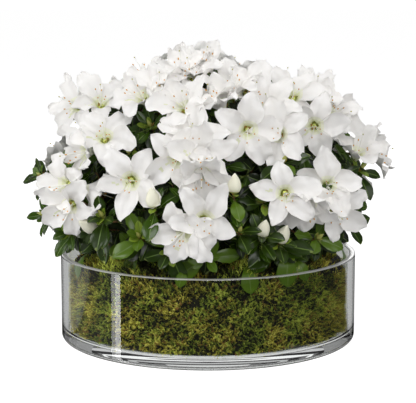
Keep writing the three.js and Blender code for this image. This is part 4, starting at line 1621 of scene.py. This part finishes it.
@dataclass
class Corolla:
    """Five broad white petals that leave a funnel, channelled at the throat and ruffled outside."""

    shrub: Shrub
    total: float = 39.0
    throat: float = 0.25
    half_width: float = 10.0
    foot: float = 1.7
    below: float = 3.0
    thickness: float = 0.4
    ruffle: float = 2.7
    petals: int = 5
    funnel: float = 26.0
    section: Section = Section(
        (1, 0.9, 0.7, 0.46, 0.2, 0, -0.2, -0.46, -0.7, -0.9, -1), (-0.7, -0.3, 0.3, 0.7)
    )
    stations: tuple[float, ...] = (
        0, 0.12, 0.22, 0.31, 0.4, 0.49, 0.58, 0.67, 0.76, 0.84, 0.91, 0.96, 0.99, 1,
    )

    def outline(self, radius: np.ndarray, blade: np.ndarray, point: np.ndarray) -> np.ndarray:
        """Half the petal's width: all of its fifth of the funnel, then a broad pointed oval.

        Args:
            radius: The funnel's radius at each station, (n, s).
            blade: How far along the free part of the petal each station is, (s,).
            point: A power for each petal, from 0.5 for a round tip to 1 for a sharp one.

        Returns:
            (n, s).
        """
        wrap = radius * 0.82
        swell = ease(blade / 0.7)
        close = (1 - np.clip((blade - 0.4) / 0.6, 0, 1) ** 1.9) ** point[:, None]
        return (wrap * (1 - swell) + self.half_width * swell) * np.maximum(close, 0.05)

    def build(self) -> None:
        """Makes all petals of all blooms at once."""
        blooms = self.shrub.blooms
        number = np.tile(np.arange(self.petals), len(blooms))
        which = np.repeat(np.arange(len(blooms)), self.petals)
        key = PETAL_KEY + which * self.petals + number
        s = np.array(self.stations)
        blade = np.clip((s - self.throat) / (1 - self.throat), 0, 1)
        flare = np.radians(blooms.flare[which]) * spread(key, 20, 0.9, 1.12)
        start = math.radians(self.funnel)
        bend = ease((s - 0.03) / 0.66)
        slope = start + (1.13 * flare[:, None] - start) * bend
        slope = slope + np.radians(spread(key, 24, -34, 40))[:, None] * ease((blade - 0.4) / 0.6)
        slope = slope + np.radians(spread(key, 38, -9, 9))[:, None] * bend
        total = self.total * spread(key, 21, 0.82, 1.04)
        line = Midline.along(total[:, None] * s, slope, self.foot, -self.below)
        half = self.outline(line.radius, blade, spread(key, 34, 0.38, 0.82))
        half = half * (1 + spread(key, 22, -0.2, 0.12)[:, None] * ease(blade * 2))
        u, down = self.section.across, self.section.below
        x = half[..., None] * u
        wrap = (line.radius + spread(key, 25, 10, 60)[:, None] * blade**1.5)[..., None]
        bent = np.clip(x / wrap, -1.4, 1.4)
        side, rise = wrap * np.sin(bent), wrap * (1 - np.cos(bent))
        right, left = (
            np.sin(2 * math.pi * spread(key, channel, 1.5, 3.0)[:, None] * blade
                   + spread(key, channel + 1, *ANY_PHASE)[:, None])[..., None]
            for channel in (26, 28)
        )
        edge = np.where(u > 0, right, left) * np.abs(u) ** 1.6 * ease(blade * 1.5)[:, None]
        fold = (blade * (1.2 - blade) * 3)[:, None]
        groove = -0.8 * np.exp(-((x / 1.5) ** 2)) * fold
        ribs = 0.46 * np.cos(u * 13 + spread(key, 37, -0.6, 0.6)[:, None, None]) * fold
        curl = spread(key, 39, -0.03, 0.05)[:, None, None] * x**2 * blade[:, None]
        twist = np.radians(spread(key, 35, -26, 26))[:, None, None] * blade[:, None] * x
        rise = rise + self.ruffle * edge + groove + ribs + curl + twist
        rise = rise - self.thickness * down * np.minimum(1, 0.3 + half / 5)[..., None]
        heading = np.radians(360 / self.petals * (number + 0.5))
        stray = spread(key, 23, -0.2, 0.2)[:, None] * line.radius * ease((blade - 0.1) / 0.5)
        rings = line.rings(side + stray[..., None], rise, heading)
        rings = placed(rings, blooms.frames()[which], blooms.at[which])
        skin = Skin().add_sleeves(rings, self.faces(key, number))
        finishes = [PETAL_WHITE, PETAL_CREAM, THROAT_GREEN, FLECK_GREEN, THROAT_PALE]
        make_piece("petals", skin, finishes, FOLIAGE, crease=100)

    def faces(self, key: np.ndarray, number: np.ndarray) -> list[np.ndarray]:
        """Each face's finish: green in the throat, cream round it, and flecks up the top petals.

        Args:
            key: One number for each petal.
            number: Which of the bloom's petals it is.

        Returns:
            Rows of finish numbers, for the quads of each petal and for its lids.
        """
        white, cream, green, fleck, pale = range(5)
        rows, ring = len(self.stations) - 1, len(self.section.across)
        tops = len(self.section.over) - 1
        finish = np.full((len(key), rows, ring), white)
        for row, inside in enumerate((green, pale, cream)):
            finish[:, row, :tops] = inside
        finish[:, :2, tops:] = cream
        spots = draw(key[:, None] * 16 + np.arange(6), 36) < 0.5
        flecked = (number == 1)[:, None] & spots
        for k in range(6):
            row, column = 3 + k // 2, tops // 2 - k % 2
            finish[flecked[:, k], row, column] = fleck
        return [finish.reshape(len(key), -1), np.full(2, cream)]


@dataclass
class Stamens:
    """White filaments that rise from each throat to orange anthers, and a longer pistil."""

    shrub: Shrub
    count: int = 6
    length: float = 25.0
    droop: float = 4.0
    spindle: tuple[float, ...] = (-1, -0.55, 0.1, 0.7, 1)
    girth: tuple[float, ...] = (0.35, 0.9, 1, 0.75, 0.2)

    def build(self) -> None:
        """Filaments as thin tubes on cubic curves, with a spindle on the end of each."""
        blooms = self.shrub.blooms
        which = np.repeat(np.arange(len(blooms)), self.count)
        order = np.tile(np.arange(self.count), len(blooms))
        key = STAMEN_KEY + blooms.key[which] * 32 + order
        pistil = order == 0
        turn = order * 2 * math.pi / (self.count - 1) + spread(key, 70, -0.5, 0.5)
        lean = np.radians(np.where(pistil, 10, spread(key, 71, 8, 26)))
        length = self.length * np.where(pistil, 1.2, spread(key, 72, 0.66, 1.0))
        out = outward(turn)
        end = out * (np.sin(lean) * length)[:, None] + UP * (np.cos(lean) * length * 0.93)[:, None]
        lower = bases(blooms.axis, np.zeros(len(blooms)))[:, 1][which] * -self.droop
        end = end + np.einsum("nd,nkd->nk", lower, blooms.frames()[which])
        foot = np.broadcast_to(-UP, out.shape)
        controls = np.stack([foot, UP * 9 + out * 0.6, end * 0.62 - UP * 1.5, end], 1)
        controls = placed(controls, blooms.frames()[which], blooms.at[which])
        t = np.linspace(0, 1, 7)
        radius = np.where(pistil, 0.4, 0.34)[:, None] * (1 - 0.25 * t)
        skin = Skin().add_sleeves(tube_rings(bezier(controls, t), radius, 4))
        make_piece("filaments", skin, [FILAMENT_WHITE], FOLIAGE)
        tip = unit(controls[:, 3] - controls[:, 2])
        long = np.where(pistil, 0.8, 1.1)[:, None, None]
        path = controls[:, 3:] + tip[:, None] * np.array(self.spindle)[:, None] * long
        rings = tube_rings(path, np.where(pistil, 0.65, 0.6)[:, None] * np.array(self.girth), 6)
        skin = Skin().add_sleeves(rings[~pistil]).add_sleeves(rings[pistil], all_of(1, rings))
        make_piece("anthers", skin, [ANTHER_ORANGE, STIGMA_GREEN], FOLIAGE)


@dataclass
class Buds:
    """Flower buds with wound petals, leaf buds in the rosettes, and green stalks under blooms."""

    shrub: Shrub
    length: float = 20.0
    radius: float = 6.5
    leaf_length: float = 7.5
    leaf_radius: float = 1.9
    sides: int = 20
    leaf_sides: int = 8
    stations: int = 13
    stalk_heights: tuple[float, ...] = (-13, -8, -4.5, -2.5, -1, 0.5)
    stalk_radii: tuple[float, ...] = (1.05, 1.0, 1.15, 1.9, 2.2, 1.8)
    stalk_sides: int = 8

    def wound(
        self, tips: Tips, length: np.ndarray, radius: np.ndarray, sides: int, folds: int
    ) -> np.ndarray:
        """Rings of buds: a drop shape with folds that wind about it.

        Args:
            tips: Where they stand.
            length: Their lengths, (n,).
            radius: Their widest radii, (n,).
            sides: Points in a ring.
            folds: How many petals show.

        Returns:
            (n, stations, sides, 3).
        """
        t = np.linspace(0, 1, self.stations)
        swell = np.sin(math.pi * t**0.82) ** 0.72 * (1 - 0.35 * t)
        drop = np.maximum(0.06, swell + 0.2 * (1 - t) ** 3)
        a = turns(sides)
        wind = (a[None] * folds + 2.6 * t[:, None] * folds / 3) % (2 * math.pi) / (2 * math.pi)
        r = radius[:, None, None] * (drop[:, None] * (1 + 0.13 * (wind - 0.5)))
        z = length[:, None, None] * t[:, None] + 0 * r
        return placed(np.stack([r * np.cos(a), r * np.sin(a), z], -1), tips.frames(), tips.at)

    def bud_faces(self, sides: int, green: int) -> list[np.ndarray]:
        """Finish numbers of a bud's faces: green rings at its foot and cream above."""
        rows = np.repeat((np.arange(self.stations - 1) < green).astype(int), sides)
        return [rows, np.array([1, 0])]

    def build(self) -> None:
        """White flower buds, small leaf buds with scales, and the stalks."""
        shoots = self.shrub.shoots
        flowers = shoots.where(shoots.bud > 0)
        size = spread(flowers.key, 80, 0.85, 1.1)
        radius = self.radius * spread(flowers.key, 82, 0.92, 1.2) * size
        rings = self.wound(flowers, self.length * size, radius, self.sides, folds=4)
        skin = Skin().add_sleeves(rings, self.bud_faces(self.sides, green=2))
        make_piece("flower_buds", skin, [BUD_CREAM, BUD_GREEN], FOLIAGE)
        ends = shoots.where(shoots.bud == 0)
        size = spread(ends.key, 81, 0.8, 1.3)
        length, radius = self.leaf_length * size, self.leaf_radius * size
        rings = self.wound(ends, length, radius, self.leaf_sides, folds=2)
        skin = Skin().add_sleeves(rings, self.bud_faces(self.leaf_sides, green=self.stations - 1))
        make_piece("leaf_buds", skin, [BUD_CREAM, BUD_GREEN], FOLIAGE)
        self.scales()
        self.stalks()

    def scales(self) -> None:
        """Small tan and yellow-green scales round the foot of every bud."""
        small = Leaves(
            self.shrub, Bowl.fitted(), slenderness=0.42, thickness=0.3,
            section=Section((1, 0, -1), (0,)), stations=(0, 0.3, 0.65, 1),
        )
        on_shoots = Rosette(5, 8.5, 52, 16, smallest=0.7, step=0.4)
        on_blooms = Rosette(5, 7.5, 30, 18, smallest=0.8, step=0.3)
        skin = Skin()
        for tips, rosette in ((self.shrub.shoots, on_shoots), (self.shrub.blooms, on_blooms)):
            rings, which = small.grow(tips, rosette, 2.5)
            order = np.arange(len(rings)) % rosette.leaves
            tan = (order + tips.key[which]) % 2 == 0
            skin.add_sleeves(rings[tan]).add_sleeves(rings[~tan], all_of(1, rings))
        make_piece("bud_scales", skin, [SCALE_TAN, STALK_GREEN], FOLIAGE, crease=100)

    def stalks(self) -> None:
        """A green stalk from each bloom's knee into its funnel, where it ends in a pale knob."""
        blooms = self.shrub.blooms
        z = np.array(self.stalk_heights)
        path = blooms.at[:, None] + blooms.axis[:, None] * z[:, None]
        rings = tube_rings(path, np.array(self.stalk_radii)[None], self.stalk_sides)
        rows = np.repeat((np.arange(len(z) - 1) > 2).astype(int), self.stalk_sides)
        skin = Skin().add_sleeves(rings, [rows, np.array([0, 1])])
        make_piece("stalks", skin, [STALK_GREEN, THROAT_GREEN], FOLIAGE)


# ---- Studio ----------------------------------------------------------------------------------


Corners = list[tuple[float, float, float]]


@dataclass(frozen=True)
class Softbox:
    """A soft light: where it is, what it faces, its size in metres and its strength in watts."""

    name: str
    at: tuple[float, float, float]
    towards: tuple[float, float, float]
    size: tuple[float, float]
    power: float

    def build(self) -> None:
        """Adds the light to the scene."""
        light = bpy.data.lights.new(self.name, "AREA")
        light.shape = "RECTANGLE"
        light.size, light.size_y = self.size
        light.energy = self.power
        lamp = bpy.data.objects.new(self.name, light)
        lamp.location = self.at
        way = Vector(self.towards) - Vector(self.at)
        lamp.rotation_euler = way.to_track_quat("-Z", "Y").to_euler()
        lamp.visible_transmission = False
        bpy.context.scene.collection.objects.link(lamp)


@dataclass(frozen=True)
class Slat:
    """A card far behind the bowl, tapered to both ends, that draws a line in the glass base."""

    low: float
    high: float
    reach: float
    glow: float

    def corners(self, y: float) -> Corners:
        """Its corners at a distance behind the bowl.

        Args:
            y: The distance.

        Returns:
            Six corners, anticlockwise seen from the bowl.
        """
        x, middle = self.reach * 0.6, (self.low + self.high) / 2
        return [
            (-self.reach, y, middle), (-x, y, self.low), (x, y, self.low),
            (self.reach, y, middle), (x, y, self.high), (-x, y, self.high),
        ]


@dataclass(frozen=True)
class Card:
    """An upright grey card beside the bowl: its x, its reach from front to back, and its tone."""

    name: str
    x: float
    front: float
    back: float
    tone: float

    def corners(self, low: float = -0.8, high: float = 0.9) -> Corners:
        """Its corners, between two heights."""
        edge = ((self.front, low), (self.back, low), (self.back, high), (self.front, high))
        return [(self.x, y, z) for y, z in edge]


@dataclass
class Studio:
    """A pale floor, a white surround, soft light, cards that shape the glass, and the camera.

    Lengths are metres here. The floor's sheets are named by what sees them, and the glass sees a
    pale one behind the bowl and dark ones before it and at its left. Bounces is how many
    reflections inside the glass are followed, enough to keep its base clear from above.
    """

    floor_half: float = 12.0
    floor_step: float = 0.0001
    foot_half: float = 0.142
    surround: float = 14.0
    fill: float = 0.34
    bounces: int = 8
    camera_height: float = 0.3456
    camera_distance: float = 1.386
    camera_tilt: float = 81.086
    lens: float = 127.64
    slat_distance: float = 4.5
    slat_step: float = 0.02
    slats: tuple[Slat, ...] = (
        Slat(0.2, 4.5, 9.0, 0.17), Slat(1.34, 1.58, 4.4, 0.03), Slat(1.5, 1.7, 5.4, 0.6),
        Slat(1.2, 1.36, 3.0, 1.0), Slat(1.25, 1.31, 1.3, 0.15), Slat(1.0, 1.17, 3.8, 0.03),
        Slat(1.03, 1.12, 1.9, 0.5), Slat(0.8, 0.97, 2.9, 0.75),
    )
    side_cards: tuple[Card, ...] = (
        Card("card_left", -0.75, -0.235, 0.34, 0.3),
        Card("card_right", 0.75, -0.12, 0.34, 0.3),
        Card("card_left_rear", -0.6, 0.4, 0.9, 0.5),
        Card("card_right_rear", 0.6, 0.4, 0.9, 0.5),
    )
    lights: tuple[Softbox, ...] = (
        Softbox("key", (-0.9, -1.2, 1.5), (0, 0, 0.15), (0.9, 0.9), 12.6),
        Softbox("front", (0.35, -1.9, 0.75), (0, 0, 0.15), (1.0, 0.8), 10),
        Softbox("fill_right", (1.5, -1.0, 0.9), (0, 0, 0.15), (1.0, 1.2), 6.8),
        Softbox("top", (0.1, 0.3, 1.7), (0, 0, 0.2), (1.0, 1.0), 5),
        Softbox("rear", (0.2, 1.7, 0.9), (0, 0, 0.2), (1.6, 1.0), 5),
        Softbox("strip_left", (-1.0, -0.322, -0.1), (0, 0, 0.04), (0.07, 1.5), 1.3),
        Softbox("strip_right", (-1.0, -0.402, -0.1), (0, 0, 0.04), (0.09, 1.5), 3.4),
    )

    def sheet(self, name: str, corners: Corners, color: float, glow: float) -> bpy.types.Object:
        """A flat sheet with a matte face and a glow of its own.

        Args:
            name: The object's name.
            corners: Its corners in metres, anticlockwise seen from its face.
            color: How light its face is.
            glow: How strongly it shines.

        Returns:
            The sheet, which isn't part of the plant.
        """
        mesh = bpy.data.meshes.new(name)
        mesh.from_pydata(corners, [], [tuple(range(len(corners)))])
        material, shader = new_material(name)
        set_inputs(shader, {
            "Base Color": (color, color, color, 1),
            "Roughness": 0.9,
            "Specular IOR Level": 0.0,
            "Emission Color": (1, 1, 1, 1),
            "Emission Strength": glow,
        })
        mesh.materials.append(material)
        sheet = bpy.data.objects.new(name, mesh)
        bpy.context.scene.collection.objects.link(sheet)
        return sheet

    @staticmethod
    def level(left: float, front: float, right: float, back: float) -> Corners:
        """Corners of a level rectangle at the floor's height."""
        return [(left, front, 0), (right, front, 0), (right, back, 0), (left, back, 0)]

    @staticmethod
    def upright(half: float, low: float, high: float, y: float = 5.0) -> Corners:
        """Corners of an upright rectangle behind the bowl."""
        return [(-half, y, low), (half, y, low), (half, y, high), (-half, y, high)]

    @staticmethod
    def show(
        thing: bpy.types.Object, camera: bool = False, glossy: bool = False, through: bool = False
    ) -> None:
        """Lets a stage sheet be seen by the camera, in reflections or through the glass only.

        Args:
            thing: The sheet or dome.
            camera: Whether the camera sees it.
            glossy: Whether reflections show it.
            through: Whether it shows through the glass.
        """
        thing.visible_camera = camera
        thing.visible_glossy = glossy
        thing.visible_transmission = through
        thing.visible_diffuse = False
        thing.visible_shadow = False

    def floors(self) -> None:
        """A pale floor that shines a little, and the sheets that the glass sees in its place."""
        h, r = self.floor_half, self.foot_half
        floor = self.sheet("floor", self.level(-h, -h, h, h), 0.4, 0.86)
        rear = self.sheet("floor_rear", self.level(-h, -0.1, h, h), 0.2, 0.34)
        shade = [
            (-0.08, -0.127, 0), (-4.4, -1.65, 0), (-4.4, -h, 0),
            (h, -h, 0), (h, h, 0), (0.145, -0.02, 0),
        ]
        dark = self.sheet("floor_dark", shade, 0.02, 0.0)
        wedge = [(-0.14, -0.02, 0), (-h, 1.2, 0), (-h, -4.5, 0), (-0.08, -0.127, 0)]
        side = self.sheet("floor_dark_left", wedge, 0.02, 0.0)
        foot = self.sheet("floor_foot", self.level(-r, -r, r, r), 0.2, 0.55)
        for number, sheet in enumerate((foot, dark, side, rear, floor)):
            sheet.location.z = -self.floor_step * (number + 2)
        self.show(floor, camera=True)
        self.show(dark, glossy=True, through=True)
        for sheet in (foot, rear, side):
            self.show(sheet, through=True)

    def cards(self) -> None:
        """Grey cards beside and behind the bowl, which only the glass sees."""
        for card in self.side_cards:
            sheet = self.sheet(card.name, card.corners(), card.tone, 0.0)
            self.show(sheet, glossy=True, through=True)

    def dome(self, name: str, radius: float, glow: float) -> bpy.types.Object:
        """A sphere round the set that shines evenly inwards.

        Args:
            name: The object's name.
            radius: Its radius.
            glow: How strongly it shines.

        Returns:
            The sphere, which isn't part of the plant.
        """
        bpy.ops.mesh.primitive_uv_sphere_add(segments=48, ring_count=24, radius=radius)
        dome = bpy.context.object
        dome.name = name
        material, shader = new_material(name)
        nodes = material.node_tree.nodes
        nodes.remove(shader)
        light = nodes.new("ShaderNodeEmission")
        set_inputs(light, {"Strength": glow})
        surface = nodes["Material Output"].inputs["Surface"]
        material.node_tree.links.new(light.outputs["Emission"], surface)
        dome.data.materials.append(material)
        return dome

    def backdrop(self) -> None:
        """White all round for the camera, and for the glass white behind and dim elsewhere."""
        self.show(self.dome("backdrop", self.surround, 1.05), camera=True)
        self.show(self.dome("surround_dim", self.surround + 0.5, 0.12), through=True)
        rear = self.sheet("backdrop_rear", self.upright(6, -3, 5), 0.8, 1.05)
        self.show(rear, through=True)
        bright = self.sheet("backdrop_high", self.upright(5, 0.5, 3), 0.8, 1.5)
        self.show(bright, glossy=True)
        for number, slat in enumerate(self.slats):
            corners = slat.corners(self.slat_distance - self.slat_step * number)
            self.show(self.sheet(f"slat_{number}", corners, 0, slat.glow), through=True)

    def world(self) -> None:
        """Even fill light from all round."""
        world = bpy.data.worlds.new("studio")
        world.use_nodes = True
        background = world.node_tree.nodes["Background"]
        set_inputs(background, {"Color": (1, 1, 1, 1), "Strength": self.fill})
        bpy.context.scene.world = world
        world.cycles_visibility.glossy = False

    def camera(self) -> None:
        """The camera, a little above the plant and tilted down to it."""
        data = bpy.data.cameras.new("camera")
        data.lens = self.lens
        data.sensor_width = 36.0
        camera = bpy.data.objects.new("camera", data)
        camera.location = (0, -self.camera_distance, self.camera_height)
        camera.rotation_euler = (math.radians(self.camera_tilt), 0, 0)
        bpy.context.scene.collection.objects.link(camera)
        bpy.context.scene.camera = camera

    def build(self) -> None:
        """The whole studio."""
        self.camera()
        self.floors()
        self.cards()
        self.backdrop()
        self.world()
        for light in self.lights:
            light.build()
        scene = bpy.context.scene
        scene.view_settings.view_transform = "Standard"
        scene.view_settings.look = "None"
        scene.cycles.glossy_bounces = self.bounces


def main() -> None:
    """Builds the studio, the bowl, the moss and the shrub."""
    logging.basicConfig(level=logging.INFO, format="%(name)s %(message)s")
    Studio().build()
    bowl = Bowl.fitted()
    bowl.build()
    Moss(bowl).build()
    shrub = Shrub()
    Wood(shrub).build()
    Leaves(shrub, bowl).build()
    Corolla(shrub).build()
    Stamens(shrub).build()
    Buds(shrub).build()


if __name__ == "__main__":
    main()
